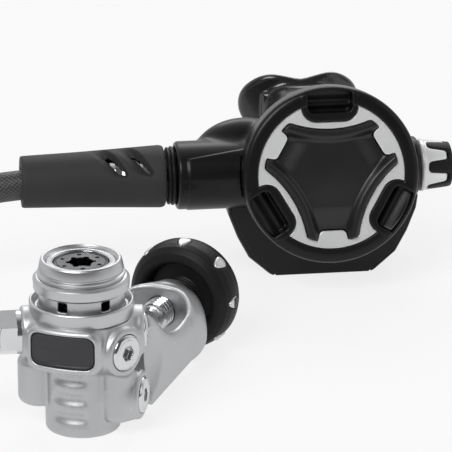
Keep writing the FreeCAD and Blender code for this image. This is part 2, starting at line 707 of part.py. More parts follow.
def buttonOutline(gap):
    """Six-fingered outline of the purge button, grown by gap."""
    edges = []
    points = []
    for k in range(3):
        middle = 270 + 120 * k
        reach = buttonReach + gap
        notch = notchReach + gap
        spread = math.degrees(gap / buttonReach)
        a = polar(reach, middle - fingerHalfAngle - spread)
        b = polar(reach, middle - notchHalfAngle + spread)
        c = polar(notch, middle - notchHalfAngle - 1 + spread)
        d = polar(notch, middle + notchHalfAngle + 1 - spread)
        e = polar(reach, middle + notchHalfAngle - spread)
        f = polar(reach, middle + fingerHalfAngle + spread)
        g = polar(buttonWaist + gap, middle + 60)
        points.append((a, b, c, d, e, f, g))
    for k in range(3):
        a, b, c, d, e, f, g = points[k]
        following = points[(k + 1) % 3][0]
        for start, end in ((a, b), (b, c), (c, d), (d, e), (e, f)):
            edges.append(Part.LineSegment(start, end).toShape())
        edges.append(Part.Arc(f, g, following).toShape())
    return Part.Face(Part.Wire(edges))


def pocketOutline(reach, halfTop, halfLow, outer):
    """Rounded pocket shape round the face edge, opening outwards."""
    edges = [
        Part.LineSegment(V(-halfTop, outer, 0), V(-halfLow, reach + 4.2, 0)),
        Part.Arc(V(-halfLow, reach + 4.2, 0), V(0, reach, 0), V(halfLow, reach + 4.2, 0)),
        Part.LineSegment(V(halfLow, reach + 4.2, 0), V(halfTop, outer, 0)),
        Part.LineSegment(V(halfTop, outer, 0), V(-halfTop, outer, 0)),
    ]
    return Part.Face(Part.Wire([edge.toShape() for edge in edges]))


def threeRound(shape):
    return [about(shape, 120 * k) for k in range(3)]


def coverRing():
    rim = turned([(28.0, -8.8), (28.0, -0.6), (28.6, 0), (30.8, 0), (32.9, -1.6), (coverR, -4),
                  (coverR, -coverDepth), (31.0, -coverDepth), (31.0, -8.8)])
    lobe = pocketOutline(19.4, 11.4, 9.4, 29.6).extrude(V(0, 0, 8.2))
    lobe.translate(V(0, 0, -8.4))
    web = ring(28.4, 12.6, -8.8, -7.8)
    face = fuse([rim, web] + threeRound(lobe))
    pocket = pocketOutline(21.6, 9.2, 7.4, 31.0).extrude(V(0, 0, 9))
    pocket.translate(V(0, 0, -6.6))
    cuts = threeRound(pocket)
    for x in (-4.2, 4.2):
        cuts += threeRound(Part.makeCylinder(1.5, 4, V(x, 25.8, -10)))
    return placed(face.cut(cuts), faceFrame)


def silverTrim():
    plate = rod(27.95, -2.4, -0.8)
    opening = buttonOutline(0.35).extrude(V(0, 0, 8))
    opening.translate(V(0, 0, -5))
    lobe = pocketOutline(19.35, 11.45, 9.45, 30.0).extrude(V(0, 0, 8))
    lobe.translate(V(0, 0, -5))
    trim = plate.cut([opening] + threeRound(lobe))
    return placed(trim, faceFrame)


def purgeButton():
    plate = buttonOutline(0).extrude(V(0, 0, 4.4))
    plate.translate(V(0, 0, -3.6))
    dish = Part.makeSphere(150, V(0, 0, 149.3))
    plate = plate.cut(dish)
    plunger = rod(8.0, -7.4, -3.0)
    return placed(fuse([plate, plunger]), faceFrame)


def purgeSpring():
    return placed(ring(11.6, 9.4, -4.7, -3.65), faceFrame)


def secondDiaphragm():
    outline = [(15.2, -10.8), (17.5, -10.8), (18.8, -12.2), (21.2, -12.2), (22.4, -10.8),
               (26.4, -10.8), (26.4, -11.6), (30.2, -11.6), (30.2, -9.0), (29.0, -9.0),
               (29.0, -10.0), (21.8, -10.0), (20.7, -11.4), (19.3, -11.4), (18.1, -10.0),
               (15.2, -10.0)]
    return placed(turned(outline), faceFrame)


def diaphragmDisc():
    outline = [(0, -10.9), (14.9, -10.9), (14.9, -9.9), (3, -9.9), (2.4, -9.4), (0, -9.4)]
    return placed(turned(outline), faceFrame)


def leverArm():
    """Bent strip lever: its foot is in the barrel, its tip under the diaphragm."""
    foot = box((-13.0, -2.6, 1.6), (-11.4, 2.6, 6.2))
    pivot = Part.makeCylinder(0.5, 5.2, V(-12.2, -2.6, 1.2), V(0, 1, 0))
    arm = box((-12.4, -1.8, 5.4), (-4.0, 1.8, 6.2))
    rise = box((-4.8, -1.8, 5.4), (-4.0, 1.8, 9.3))
    tip = box((-4.8, -2.4, 8.6), (3.4, 2.4, 9.4))
    return placed(fuse([foot, pivot, arm, rise, tip]), barrelFrame)


def valveBarrel():
    tube = ringX(6.2, 4.6, -44.9, 28.0)
    head = turnedX([(-46.8, 5.0), (-46.8, 7.0), (-44.8, 7.0), (-44.8, 7.9), (-30.5, 7.9), (-30.5, 5.0)])
    collar = ringX(6.28, 4.6, 18.2, 27.8)
    window = box((-14.6, -2.9, 0), (-3.0, 2.9, 8))
    barrel = fuse([tube, head, collar]).cut([window, rodX(5.02, -51, -44.8)])
    return placed(barrel, barrelFrame)


def orificeSeat():
    outline = [(-34.0, 2.2), (-34.0, 4.55), (-24.0, 4.55), (-22.6, 3.0), (-22.6, 2.2)]
    return placed(turnedX(outline), barrelFrame)


def valvePoppet():
    body = turnedX([(-22.4, 0), (-22.4, 3.8), (-20.6, 3.8), (-20.6, 3.0), (-8.0, 3.0), (-8.0, 1.5),
                    (-6.2, 1.5), (-6.2, 0)])
    slot = box((-13.8, -5, 0.6), (-10.6, 5, 5))
    return placed(body.cut(slot), barrelFrame)


def poppetSpring():
    spring = coilSpring(3.4, 0.7, 5, -5.3, 5.4)
    return placed(placed(spring, alongX), barrelFrame)


def adjustSpindle():
    outline = [(7.2, 0), (7.2, 4.5), (9.6, 4.5), (9.6, 3.5), (11.0, 3.5), (11.0, 4.5), (13.4, 4.5),
               (13.4, 2.4), (38.6, 2.4), (38.6, 0)]
    return placed(turnedX(outline), barrelFrame)


def spindleSeal():
    return placed(ringX(4.58, 3.55, 9.7, 10.9), barrelFrame)


def barrelNut():
    nut = placed(hexagon(11.0, 28.05, 31.8), alongX).common(rodX(6.2, 28, 32))
    return placed(nut.cut(rodX(2.46, 27, 33)), barrelFrame)


def knobProfile(extra):
    """Silver core of the knob with its tapered fingers."""
    return turnedX([(knobBossEnd + 0.5, 2.5), (knobBossEnd + 0.5, 9.5 + extra),
                    (knobBossEnd + 2.0, 9.8 + extra), (knobBossEnd + 2.6, 9.5 + extra),
                    (47.4, 8.5 + extra), (47.4, 2.5)])


def padSlots():
    """Six grip pad seats, cut between the fingers from the cap side."""
    slots = []
    for k in range(6):
        start = knobBossEnd + 3.4
        points = [(start + 1.2, -1.5), (start, 0), (start + 1.2, 1.5), (46.6, 2.9), (52, 2.9), (52, -2.9),
                  (46.6, -2.9)]
        slot = prism(points, 6.4, 12)
        slots.append(about(slot, 60 * k, V(1, 0, 0)))
    return slots


def adjustKnob():
    core = knobProfile(0).cut(padSlots())
    core = core.cut(rodX(2.5, knobBossEnd, 50))
    hub = ringX(6.0, 2.46, knobBossEnd + 0.5, 46.0)
    return placed(fuse([core, hub]), barrelFrame)


def knobGrip():
    """Rubber pads in the seats, joined to the end cap."""
    pads = knobProfile(-0.1).cut(rodX(6.42, 30, 60))
    shaped = []
    for slot in padSlots():
        shaped.append(pads.common(slot))
    cap = turnedX([(47.45, 0), (47.45, 8.4), (48.6, 8.4), (49.6, 7.2), (50.0, 3.0), (50.0, 0)])
    link = ringX(8.4, 6.5, 46.7, 47.5)
    fingers = knobProfile(0).cut(padSlots())
    grip = fuse(shaped + [cap, link.cut(fingers)])
    return placed(grip, barrelFrame)


def exhaustValve():
    disc = turned([(0, -0.6), (2.0, -0.6), (8.7, -1.4), (8.9, -0.8), (2.2, 0.3), (1.4, 0.4), (1.4, 4.4),
                   (2.1, 4.8), (1.2, 6.0), (0, 6.0)])
    return placed(disc, Placement(exhaustFrame.multVec(V(0, 0, -1.9)), exhaustFrame.Rotation))


def exhaustBridge():
    """Spoked seat that the exhaust valve hangs in."""
    hoop = ring(7.95, 6.9, -0.6, 1.4)
    spokes = [about(box((1.8, -0.7, 0.0), (7.4, 0.7, 1.4)), 120 * k) for k in range(3)]
    hub = ring(2.6, 1.45, 0.0, 1.4)
    return placed(fuse([hoop, hub] + spokes), exhaustFrame)


teeWing = [(20.0, 0.0), (28.6, 7.6), (33.0, 16.0), (36.4, 25.0), (37.6, 34.0)]


def teeHull(inset, front, rear, floor):
    """Front view of the tee: flat bottom and flared wings."""
    right = [(x - inset, max(z, floor)) for x, z in teeWing]
    outline = right + [(-x, z) for x, z in reversed(right)]
    wire = Part.makePolygon([V(faceX + x, front, z) for x, z in outline + outline[:1]])
    return Part.Face(wire).extrude(V(0, rear - front, 0))


def teeSlope(inset, front, rear, floor):
    """Side view of the tee: square front, roof that falls to the rear."""
    outline = [(front, floor), (rear - 3, floor), (rear, floor + 4), (rear, teeRearTop - inset),
               (roofBend, teeTop - 2 - inset), (front, teeTop - inset)]
    wire = Part.makePolygon([V(faceX - 50, y, z) for y, z in outline + outline[:1]])
    return Part.Face(wire).extrude(V(100, 0, 0))


def exhaustTee():
    shell = teeHull(0, teeFront, teeRear, 0).common(teeSlope(0, teeFront, teeRear, 0))
    hollow = teeHull(2.2, teeFront + 2, teeRear - 2, 2.2)
    hollow = hollow.common(teeSlope(2.0, teeFront + 2, teeRear - 2, 2.2))
    case = placed(turned([(0, 1), (coverR + 0.4, 1), (coverR + 0.4, -10.4)] + caseSide(0.05)), faceFrame)
    upper = placed(rodX(shroudR + 0.1, -70, -10), barrelFrame)
    knobSpace = placed(rodX(12.4, 10, 60), barrelFrame)
    cuts = [hollow, case, upper, knobSpace, placed(inletBulge(0.05), faceFrame)]
    for side in (-1, 1):
        mouth = box((24.0, roofBend + 1, 5.5), (44.0, teeRear - 5, 21.0))
        mouth = rounded(mouth, 3.0, lambda e: e.BoundBox.XLength > 10)
        if side < 0:
            mouth = mouth.mirror(V(), V(1, 0, 0))
        mouth.translate(V(faceX, 0, 0))
        cuts.append(mouth)
    tee = shell.cut(cuts)
    return max(tee.Solids, key=lambda s: s.Volume)


def mouthpiece():
    """Oval sleeve, lip shield and two bite tabs, all one soft piece."""
    sleeve = mouthTube(14.4, 9.4, mouthStart - 3.4, mouthEnd)
    middle = V(mouthX, mouthEnd + 44.5, mouthZ - 30)
    curve = Part.makeCylinder(46, 60, middle).cut(Part.makeCylinder(43, 60, middle))
    shield = mouthTube(24.0, 11.5, mouthEnd - 4.0, mouthEnd + 8.0).common(curve)
    tabs = []
    for side in (-1, 1):
        tab = box((side * 13.6 - 1.6, mouthEnd - 1.0, -6.5), (side * 13.6 + 1.6, mouthEnd + 12.0, 6.5))
        tab = rounded(tab, 1.4, lambda e: e.BoundBox.YLength > 10)
        tab.translate(V(mouthX, 0, mouthZ))
        pad = box((side * 14.8 - 4.6, mouthEnd + 8.8, -7.2), (side * 14.8 + 4.6, mouthEnd + 12.2, 7.2))
        pad = rounded(pad, 1.6, lambda e: e.BoundBox.XLength > 5)
        pad.translate(V(mouthX, 0, mouthZ))
        tabs += [tab, pad]
    soft = fuse([sleeve, shield] + tabs)
    groove = mouthTube(17, 12, mouthStart - 1.6, mouthStart + 1.6)
    groove = groove.cut(mouthTube(13.8, 8.8, mouthStart - 2, mouthStart + 2))
    bore = mouthTube(10.4, 5.4, mouthStart - 10, mouthEnd + 20)
    over = mouthTube(12.65, 7.65, mouthStart - 10, mouthStart + 2.05)
    return soft.cut([groove, bore, over])


def mouthpieceTie():
    band = mouthTube(15.2, 10.2, mouthStart - 1.4, mouthStart + 1.4)
    band = band.cut(mouthTube(13.82, 8.82, mouthStart - 3, mouthStart + 3))
    head = box((mouthX - 3.2, mouthStart - 1.5, mouthZ + 8.9),
               (mouthX + 3.2, mouthStart + 1.5, mouthZ + 12.4))
    head = head.cut(mouthTube(13.82, 8.82, mouthStart - 6, mouthStart + 6))
    tail = box((mouthX - 9.0, mouthStart - 1.0, mouthZ + 10.8),
               (mouthX - 3.0, mouthStart + 1.0, mouthZ + 11.8))
    return fuse([band, head, tail])


nodes = {
    "first_stage_body": firstStageBody,
    "label_plate": labelPlate,
    "port_plugs": portPlugs,
    "plug_seals": plugSeals,
    "balance_plug": balancePlug,
    "collar_ring": collarRing,
    "spring_housing": springHousing,
    "lock_ring": lockRing,
    "adjusting_screw": adjustingScrew,
    "spring_washer": springWasher,
    "main_spring": mainSpring,
    "spring_button": springButton,
    "first_diaphragm": firstDiaphragm,
    "lifter_pin": liftPin,
    "first_orifice": firstOrifice,
    "first_poppet": firstPoppet,
    "first_poppet_spring": firstPoppetSpring,
    "yoke": yoke,
    "yoke_retainer": yokeRetainer,
    "retainer_seal": retainerSeal,
    "inlet_filter": inletFilter,
    "filter_clip": filterClip,
    "thrust_pad": thrustPad,
    "yoke_screw": yokeScrew,
    "handwheel_hub": handwheelHub,
    "handwheel_grip": handwheelGrip,
    "grip_inserts": gripInserts,
    "wheel_screw": wheelScrew,
    "hose": hoseTube,
    "hose_sleeve": hoseSleeve,
    "hose_ferrule": ferruleSecond,
    "hose_stem": hoseStem,
    "stem_seal": stemSeal,
    "hose_fitting": hoseFitting,
    "swivel_nut": swivelNut,
    "second_case": secondCase,
    "cover_ring": coverRing,
    "silver_trim": silverTrim,
    "purge_button": purgeButton,
    "purge_spring": purgeSpring,
    "second_diaphragm": secondDiaphragm,
    "diaphragm_disc": diaphragmDisc,
    "lever": leverArm,
    "valve_barrel": valveBarrel,
    "orifice_seat": orificeSeat,
    "poppet": valvePoppet,
    "poppet_spring": poppetSpring,
    "adjust_spindle": adjustSpindle,
    "spindle_seal": spindleSeal,
    "barrel_nut": barrelNut,
    "adjust_knob": adjustKnob,
    "knob_grip": knobGrip,
    "exhaust_valve": exhaustValve,
    "exhaust_bridge": exhaustBridge,
    "exhaust_tee": exhaustTee,
    "mouthpiece": mouthpiece,
    "mouthpiece_tie": mouthpieceTie,
}

for name, make in nodes.items():
    shape = make()
    if not shape.isValid() or not shape.Solids or shape.Volume <= 0:
        print("not a valid solid:", name, shape.isValid(), len(shape.Solids), shape.Volume)
    shape.exportStep("parts/" + name + ".step")
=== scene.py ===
import math
import bpy
import numpy as np
from mathutils import Matrix, Vector


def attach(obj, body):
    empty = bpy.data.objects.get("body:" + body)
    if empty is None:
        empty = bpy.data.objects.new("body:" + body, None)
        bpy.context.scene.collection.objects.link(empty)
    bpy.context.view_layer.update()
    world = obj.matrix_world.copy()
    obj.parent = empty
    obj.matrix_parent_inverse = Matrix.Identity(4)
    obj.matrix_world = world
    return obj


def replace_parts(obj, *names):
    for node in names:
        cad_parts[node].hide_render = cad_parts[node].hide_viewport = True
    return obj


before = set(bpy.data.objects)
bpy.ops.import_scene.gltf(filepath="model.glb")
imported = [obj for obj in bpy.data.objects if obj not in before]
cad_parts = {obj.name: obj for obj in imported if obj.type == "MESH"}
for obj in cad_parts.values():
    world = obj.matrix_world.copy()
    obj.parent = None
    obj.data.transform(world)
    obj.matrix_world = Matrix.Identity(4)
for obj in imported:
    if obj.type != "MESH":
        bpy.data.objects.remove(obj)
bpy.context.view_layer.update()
scene = bpy.context.scene
print("frame loaded,", len(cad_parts), "nodes")


def added(name, data):
    # a new object in the scene
    thing = bpy.data.objects.new(name, data)
    scene.collection.objects.link(thing)
    return thing


def aim(thing, place, way):
    thing.location = place
    thing.rotation_mode = "QUATERNION"
    thing.rotation_quaternion = Vector(way).to_track_quat("-Z", "Y")


# Camera
camera = {
    "azimuth": -7.5,
    "elevation": 20.0,
    "distance": 1.4,
    "target": (0.00864, 0.10552, 0.0),
    "lens": 278.8,
    "sensor": 36.0,
}


def makeCamera():
    data = bpy.data.cameras.new("camera")
    data.lens, data.sensor_width = camera["lens"], camera["sensor"]
    data.clip_start, data.clip_end = 0.1, 20
    turn, rise = math.radians(camera["azimuth"]), math.radians(camera["elevation"])
    back = Vector((math.sin(turn) * math.cos(rise), -math.cos(turn) * math.cos(rise), math.sin(rise)))
    scene.camera = added("camera", data)
    aim(scene.camera, Vector(camera["target"]) + back * camera["distance"], -back)


makeCamera()

# Places of the two stages, in millimetres
stagePlaces = {
    "first": (-66.46, -86.68),
    "face": (38.54, 27.52, 47.0),
    "faceTilt": 12.5,
    "barrelDepth": 21.0,
    "yokeTurn": 57.5,
    "yokeHeight": 20.2,
}
faceX, faceY, faceZ = stagePlaces["face"]
firstX, firstY = stagePlaces["first"]
bodyFrame = Matrix.Translation((firstX, firstY, 0))
yokeFrame = Matrix.Translation((firstX, firstY, stagePlaces["yokeHeight"]))
yokeFrame = yokeFrame @ Matrix.Rotation(math.radians(stagePlaces["yokeTurn"]), 4, "Z")
faceTurn = Matrix.Rotation(math.radians(90 - stagePlaces["faceTilt"]), 4, "X")
faceFrame = Matrix.Translation(stagePlaces["face"]) @ faceTurn
barrelFrame = faceFrame @ Matrix.Translation((0, 0, -stagePlaces["barrelDepth"]))
rowFrame = Matrix()
xForward = Matrix.Rotation(math.radians(90), 4, "Y")  # carries +Z to +X


# Materials
class Value:
    # a node's output that is added, multiplied and compared like a number
    def __init__(self, owner, socket):
        self.owner, self.socket = owner, socket

    def math(self, operation, *values):
        return self.owner.node("ShaderNodeMath", {"operation": operation}, *values)[0]

    def __add__(self, other):
        return self.math("ADD", self, other)

    __radd__ = __add__

    def __mul__(self, other):
        return self.math("MULTIPLY", self, other)

    __rmul__ = __mul__

    def __sub__(self, other):
        return self.math("SUBTRACT", self, other)

    def __rsub__(self, other):
        return self.math("SUBTRACT", other, self)

    def __pow__(self, other):
        return self.math("POWER", self, other)

    def below(self, other):
        return self.math("LESS_THAN", self, other)

    def most(self, other):
        return self.math("MAXIMUM", self, other)


class Nodes:
    # a node tree; node() adds any node and gives its outputs back as values
    def __init__(self, tree):
        self.tree = tree

    def connect(self, socket, value):
        if isinstance(value, Value):
            self.tree.links.new(value.socket, socket)
        else:
            socket.default_value = (*value, 1) if socket.type == "RGBA" else value

    def node(self, kind, settings=None, *values, **named):
        made = self.tree.nodes.new(kind)
        for key, value in (settings or {}).items():
            setattr(made, key, value)
        for socket, value in zip([s for s in made.inputs if s.enabled], values):
            self.connect(socket, value)
        for key, value in named.items():
            self.connect(made.inputs[key], value)
        return [Value(self, s) for s in made.outputs if s.enabled]


finishes = {}
shaderSockets = {"colour": "Base Color", "roughness": "Roughness", "metal": "Metallic", "normal": "Normal",
                 "coat": "Coat Weight", "coatRoughness": "Coat Roughness", "specular": "Specular IOR Level",
                 "anisotropic": "Anisotropic"}


class Finish(Nodes):
    # one material, made round the shader that a new material has
    def __init__(self, name, **uniform):
        finishes[name] = self.material = bpy.data.materials.new(name)
        self.material.use_nodes = True
        super().__init__(self.material.node_tree)
        self.shader = self.tree.nodes["Principled BSDF"]
        self.put(**uniform)

    def put(self, **values):
        for key, value in values.items():
            self.connect(self.shader.inputs[shaderSockets[key]], value)

    def where(self):
        return self.node("ShaderNodeTexCoord")[3]

    def noise(self, scale, detail=3.0, stretch=None):
        place = self.where()
        if stretch:
            place = self.node("ShaderNodeVectorMath", {"operation": "MULTIPLY"}, place, stretch)[0]
        return self.node("ShaderNodeTexNoise", {}, Vector=place, Scale=scale, Detail=detail)[0]

    def mix(self, factor, first, second):
        return self.node("ShaderNodeMix", {"data_type": "RGBA"}, factor, first, second)[0]

    def grain(self, scale, strength, depth):
        height = self.noise(scale, 2.0)
        self.put(normal=self.node("ShaderNodeBump", {}, Strength=strength, Distance=depth, Height=height)[0])

    def edges(self, low, high):
        # painted highlight by curvature: 0 on flats, 1 on convex ridges
        point = self.node("ShaderNodeNewGeometry")[7]
        return self.node("ShaderNodeMapRange", {}, point, low, high, 0.0, 1.0)[0]


def cloudy(name, cloud, tones, rough, grain, dust=None, **uniform):
    # two tones in soft clouds, a roughness that follows the clouds or a finer dust, and a fine grain
    finish = Finish(name, **uniform)
    soft = finish.noise(*cloud)
    finish.put(colour=finish.mix(soft, *tones))
    finish.put(roughness=rough[0] + rough[1] * (finish.noise(*dust) if dust else soft))
    finish.grain(*grain)


def makeMetals():
    satin = Finish("satinMetal", metal=1.0)
    cloud = satin.noise(60, 4)
    # painted highlight: convex edges of the satin metal are mixed towards a light grey
    ridge = satin.edges(0.535, 0.62)
    tone = satin.mix(cloud, (0.50, 0.505, 0.515), (0.57, 0.575, 0.585))
    satin.put(colour=satin.mix(ridge * 0.35, tone, (0.78, 0.785, 0.79)))
    satin.put(roughness=0.39 + cloud * 0.08 + satin.noise(900) * 0.05 - ridge * 0.03)
    satin.grain(2600, 0.18, 0.00006)

    # painted shade: inside its windows the housing is coloured near black
    paintedShadeRadius = 0.0142
    housing = Finish("housingMetal", metal=1.0)
    east, north = housing.node("ShaderNodeSeparateXYZ", {}, housing.where())[:2]
    reach = (((east - firstX / 1000) ** 2.0) + ((north - firstY / 1000) ** 2.0)) ** 0.5
    cloud = housing.noise(60)
    tone = housing.mix(cloud, (0.50, 0.505, 0.515), (0.57, 0.575, 0.585))
    housing.put(colour=housing.mix(reach.below(paintedShadeRadius), tone, (0.02, 0.02, 0.022)))
    housing.put(roughness=0.34 + cloud * 0.1)
    housing.grain(2600, 0.12, 0.00005)

    cloudy("turnedMetal", (60,), [(0.50, 0.505, 0.515), (0.58, 0.585, 0.595)], (0.26, 0.14),
           (2600, 0.12, 0.00005), dust=(420, 3, (0.02, 0.02, 6.0)), metal=1.0, anisotropic=0.4)
    cloudy("chromeMetal", (240,), [(0.62, 0.625, 0.635), (0.74, 0.745, 0.75)], (0.10, 0.10),
           (900, 0.06, 0.00005), metal=1.0)
    cloudy("darkMetal", (120,), [(0.07, 0.072, 0.078), (0.13, 0.132, 0.138)], (0.20, 0.12),
           (1500, 0.1, 0.00005), metal=1.0)
    cloudy("brass", (150,), [(0.62, 0.47, 0.22), (0.72, 0.58, 0.30)], (0.22, 0.12),
           (1500, 0.1, 0.00005), metal=1.0)
    cloudy("springSteel", (200,), [(0.45, 0.46, 0.48), (0.60, 0.61, 0.62)], (0.25, 0.12),
           (1200, 0.12, 0.00005), metal=1.0)
    cloudy("studMetal", (150,), [(0.62, 0.625, 0.63), (0.76, 0.765, 0.77)], (0.28, 0.14),
           (1500, 0.12, 0.00005), metal=0.7)
    cloudy("silverPlate", (40,), [(0.74, 0.745, 0.75), (0.83, 0.835, 0.84)], (0.28, 0.1),
           (2600, 0.15, 0.00006), dust=(2500, 2), metal=0.4)
    cloudy("knobSilver", (60,), [(0.78, 0.785, 0.79), (0.86, 0.865, 0.87)], (0.25, 0.1),
           (2400, 0.1, 0.00005), metal=0.3)
    cloudy("labelPlate", (90, 3, (1.0, 1.0, 12.0)), [(0.026, 0.026, 0.029), (0.045, 0.045, 0.048)],
           (0.32, 0.12), (2000, 0.1, 0.00005), metal=0.3)


def makeBlacks():
    black = Finish("moulding", specular=0.24)
    cloud = black.noise(45)
    # painted highlight: convex edges of the black mouldings get a lighter grey
    ridge = black.edges(0.5, 0.62)
    black.put(colour=black.mix(ridge * 0.4, (0.0045, 0.0045, 0.005), (0.026, 0.026, 0.027)))
    black.put(roughness=0.30 + cloud * 0.10, coat=0.06 + cloud * 0.06)
    black.grain(1800, 0.10, 0.00006)

    braid = Finish("braid", specular=0.5)
    # painted shade and highlight: the gaps between braid strands are near black, the strand crests a lighter
    # grey
    braid.put(colour=braid.mix(braid.edges(0.47, 0.55), (0.004, 0.004, 0.005), (0.11, 0.11, 0.112)))
    braid.put(roughness=0.34 + braid.noise(700) * 0.15)
    braid.grain(4000, 0.4, 0.0001)

    cloudy("mattMoulding", (60,), [(0.006, 0.006, 0.007), (0.011, 0.011, 0.012)], (0.42, 0.1),
           (2600, 0.3, 0.00008), specular=0.22)
    cloudy("buttonSatin", (50,), [(0.009, 0.009, 0.010), (0.014, 0.014, 0.015)], (0.30, 0.07),
           (2400, 0.15, 0.00006), specular=0.45)
    cloudy("gripRubber", (80, 4), [(0.005, 0.005, 0.006), (0.010, 0.010, 0.011)], (0.40, 0.12),
           (2200, 0.35, 0.0001), dust=(1500, 2), specular=0.22)
    cloudy("sleeveRubber", (50, 4), [(0.028, 0.028, 0.030), (0.042, 0.042, 0.044)], (0.55, 0.12),
           (2400, 0.4, 0.0001), dust=(1300, 2), specular=0.25)
    cloudy("silicone", (35,), [(0.010, 0.010, 0.011), (0.018, 0.018, 0.019)], (0.18, 0.12),
           (500, 0.08, 0.0001), specular=0.5, coat=0.5, coatRoughness=0.12)


makeMetals()
makeBlacks()
print("finishes made:", len(finishes))

# CAD nodes that stay as they are get a real finish
carried = {
    "chromeMetal": ["hose_ferrule", "balance_plug", "yoke_retainer", "hose_fitting", "hose_stem",
                    "barrel_nut", "wheel_screw", "thrust_pad"],
    "brass": ["first_orifice", "orifice_seat", "valve_barrel", "spring_washer", "adjust_spindle"],
    "springSteel": ["main_spring", "first_poppet_spring", "poppet_spring", "purge_spring", "lifter_pin",
                    "inlet_filter", "filter_clip", "lever"],
    "mattMoulding": ["spring_button", "first_poppet", "poppet", "diaphragm_disc", "exhaust_bridge",
                     "mouthpiece_tie"],
    "gripRubber": ["first_diaphragm", "plug_seals", "retainer_seal", "stem_seal", "spindle_seal",
                   "second_diaphragm", "exhaust_valve"],
}
for finish, names in carried.items():
    for name in names:
        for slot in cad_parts[name].material_slots:
            slot.material = finishes[finish]
print("CAD nodes finished:", sum(len(names) for names in carried.values()))


# Solids from distance fields, all in millimetres
class Points:
    # places in space as seen from a local frame
    def __init__(self, x, y, z):
        self.x, self.y, self.z = x, y, z

    def move(self, dx=0.0, dy=0.0, dz=0.0):
        return Points(self.x - dx, self.y - dy, self.z - dz)

    def turn(self, axis, degrees):
        c, s = math.cos(math.radians(degrees)), math.sin(math.radians(degrees))
        if axis == "X":
            return Points(self.x, self.y * c + self.z * s, self.z * c - self.y * s)
        return Points(self.x * c + self.y * s, self.y * c - self.x * s, self.z)

    def lying(self):
        # the local Z runs along this frame's X
        return Points(-self.z, self.y, self.x)

    def spread(self):
        return np.hypot(self.x, self.y)


def rolled(a, b, edge):
    # the common part of two shapes with a true radius along the edge
    a, b = a + edge, b + edge
    return np.hypot(np.maximum(a, 0), np.maximum(b, 0)) + np.minimum(np.maximum(a, b), 0) - edge


def raised(flat, z, low, high, edge=0.3):
    # a flat outline's distance given thickness, with rounded rims
    return rolled(flat, np.abs(z - (low + high) / 2) - (high - low) / 2, edge)


def drum(p, radius, low, high, edge=0.4):
    # round bar along Z with rounded edges
    return raised(p.spread() - radius, p.z, low, high, edge)


def pill(u, v, halfU, halfV, corner):
    # flat rectangle with rounded corners
    return rolled(np.abs(u) - halfU, np.abs(v) - halfV, corner)


def block(p, halfX, halfY, halfZ, edge=0.4):
    a, b, c = np.abs(p.x) - halfX + edge, np.abs(p.y) - halfY + edge, np.abs(p.z) - halfZ + edge
    outside = np.sqrt(np.maximum(a, 0) ** 2 + np.maximum(b, 0) ** 2 + np.maximum(c, 0) ** 2)
    return outside + np.minimum(np.maximum(np.maximum(a, b), c), 0) - edge


def egg(p, rx, ry, rz):
    k = np.sqrt((p.x / rx) ** 2 + (p.y / ry) ** 2 + (p.z / rz) ** 2)
    g = np.sqrt((p.x / rx ** 2) ** 2 + (p.y / ry ** 2) ** 2 + (p.z / rz ** 2) ** 2)
    return k * (k - 1) / np.maximum(g, 1e-6)


def outline(u, v, points):
    # signed distance to a closed polygon in a plane
    nearest = np.full_like(u, 1e9)
    inside = np.zeros(u.shape, dtype=bool)
    for (ax, ay), (bx, by) in zip(points, points[1:] + points[:1]):
        ex, ey = bx - ax, by - ay
        wx, wy = u - ax, v - ay
        t = np.clip((wx * ex + wy * ey) / (ex * ex + ey * ey), 0, 1)
        nearest = np.minimum(nearest, (wx - ex * t) ** 2 + (wy - ey * t) ** 2)
        cross = ex * wy - ey * wx
        inside ^= ((ay <= v) & (by > v) & (cross > 0)) | ((ay > v) & (by <= v) & (cross < 0))
    gap = np.sqrt(nearest)
    return np.where(inside, -gap, gap)


def hexDistance(p, across):
    u, v = np.abs(p.x), np.abs(p.y)
    return np.maximum(u * math.cos(math.pi / 6) + v * 0.5, v) - across / 2


def join(a, b, blend=0.0):
    if not blend:
        return np.minimum(a, b)
    h = np.maximum(blend - np.abs(a - b), 0) / blend
    return np.minimum(a, b) - h * h * blend / 4


def both(a, b, blend=0.0):
    return -join(-a, -b, blend)


def carve(a, b, blend=0.0):
    return -join(-a, b, blend)


def repeat(p, count, offset=0.0):
    # fold the circle round Z into one sector that is centred on +X
    sector = 2 * math.pi / count
    angle = np.arctan2(p.y, p.x) - offset
    angle = angle - sector * np.round(angle / sector)
    return Points(p.spread() * np.cos(angle), p.spread() * np.sin(angle), p.z)


def outward(p, angle, height):
    # places seen from a point of the axis: Z straight out at this angle, Y up
    q = p.move(0, 0, height).turn("Z", angle)
    return Points(q.y, q.z, q.x)


def smoothStep(x, low, high):
    t = np.clip((x - low) / (high - low), 0, 1)
    return t * t * (3 - 2 * t)


def bulge(x, middle, width):
    return np.exp(-((x - middle) / width) ** 2)


cellsPerBlock = 8
batch = 3000
cornerSteps = [(0, 0, 0), (1, 0, 0), (0, 1, 0), (1, 1, 0), (0, 0, 1), (1, 0, 1), (0, 1, 1), (1, 1, 1)]
edgeCorners = [(a, b) for a in range(8) for b in range(a + 1, 8)
               if sum(x != y for x, y in zip(cornerSteps[a], cornerSteps[b])) == 1]


def allPlaces(counts):
    return np.stack(np.meshgrid(*[np.arange(n) for n in counts], indexing="ij"), -1).reshape(-1, 3)


def sampled(field, low, high, step):
    # field values on a grid: blocks that the surface can't reach get one value each
    low = np.array(low, dtype=np.float64)
    side = cellsPerBlock * step
    count = np.ceil((np.array(high) - low) / side).astype(int)
    mids = allPlaces(count)
    coarse = field(Points(*(low + (mids + 0.5) * side).T))
    values = coarse.reshape(count)
    for axis in range(3):
        values = np.repeat(values, cellsPerBlock, axis)
    near = mids[np.abs(coarse) < side * 1.05]
    local = allPlaces([cellsPerBlock] * 3)
    for start in range(0, len(near), batch):
        cells = (near[start:start + batch, None, :] * cellsPerBlock + local[None]).reshape(-1, 3)
        values[tuple(cells.T)] = field(Points(*(low + (cells + 0.5) * step).T))
    return values, low + 0.5 * step


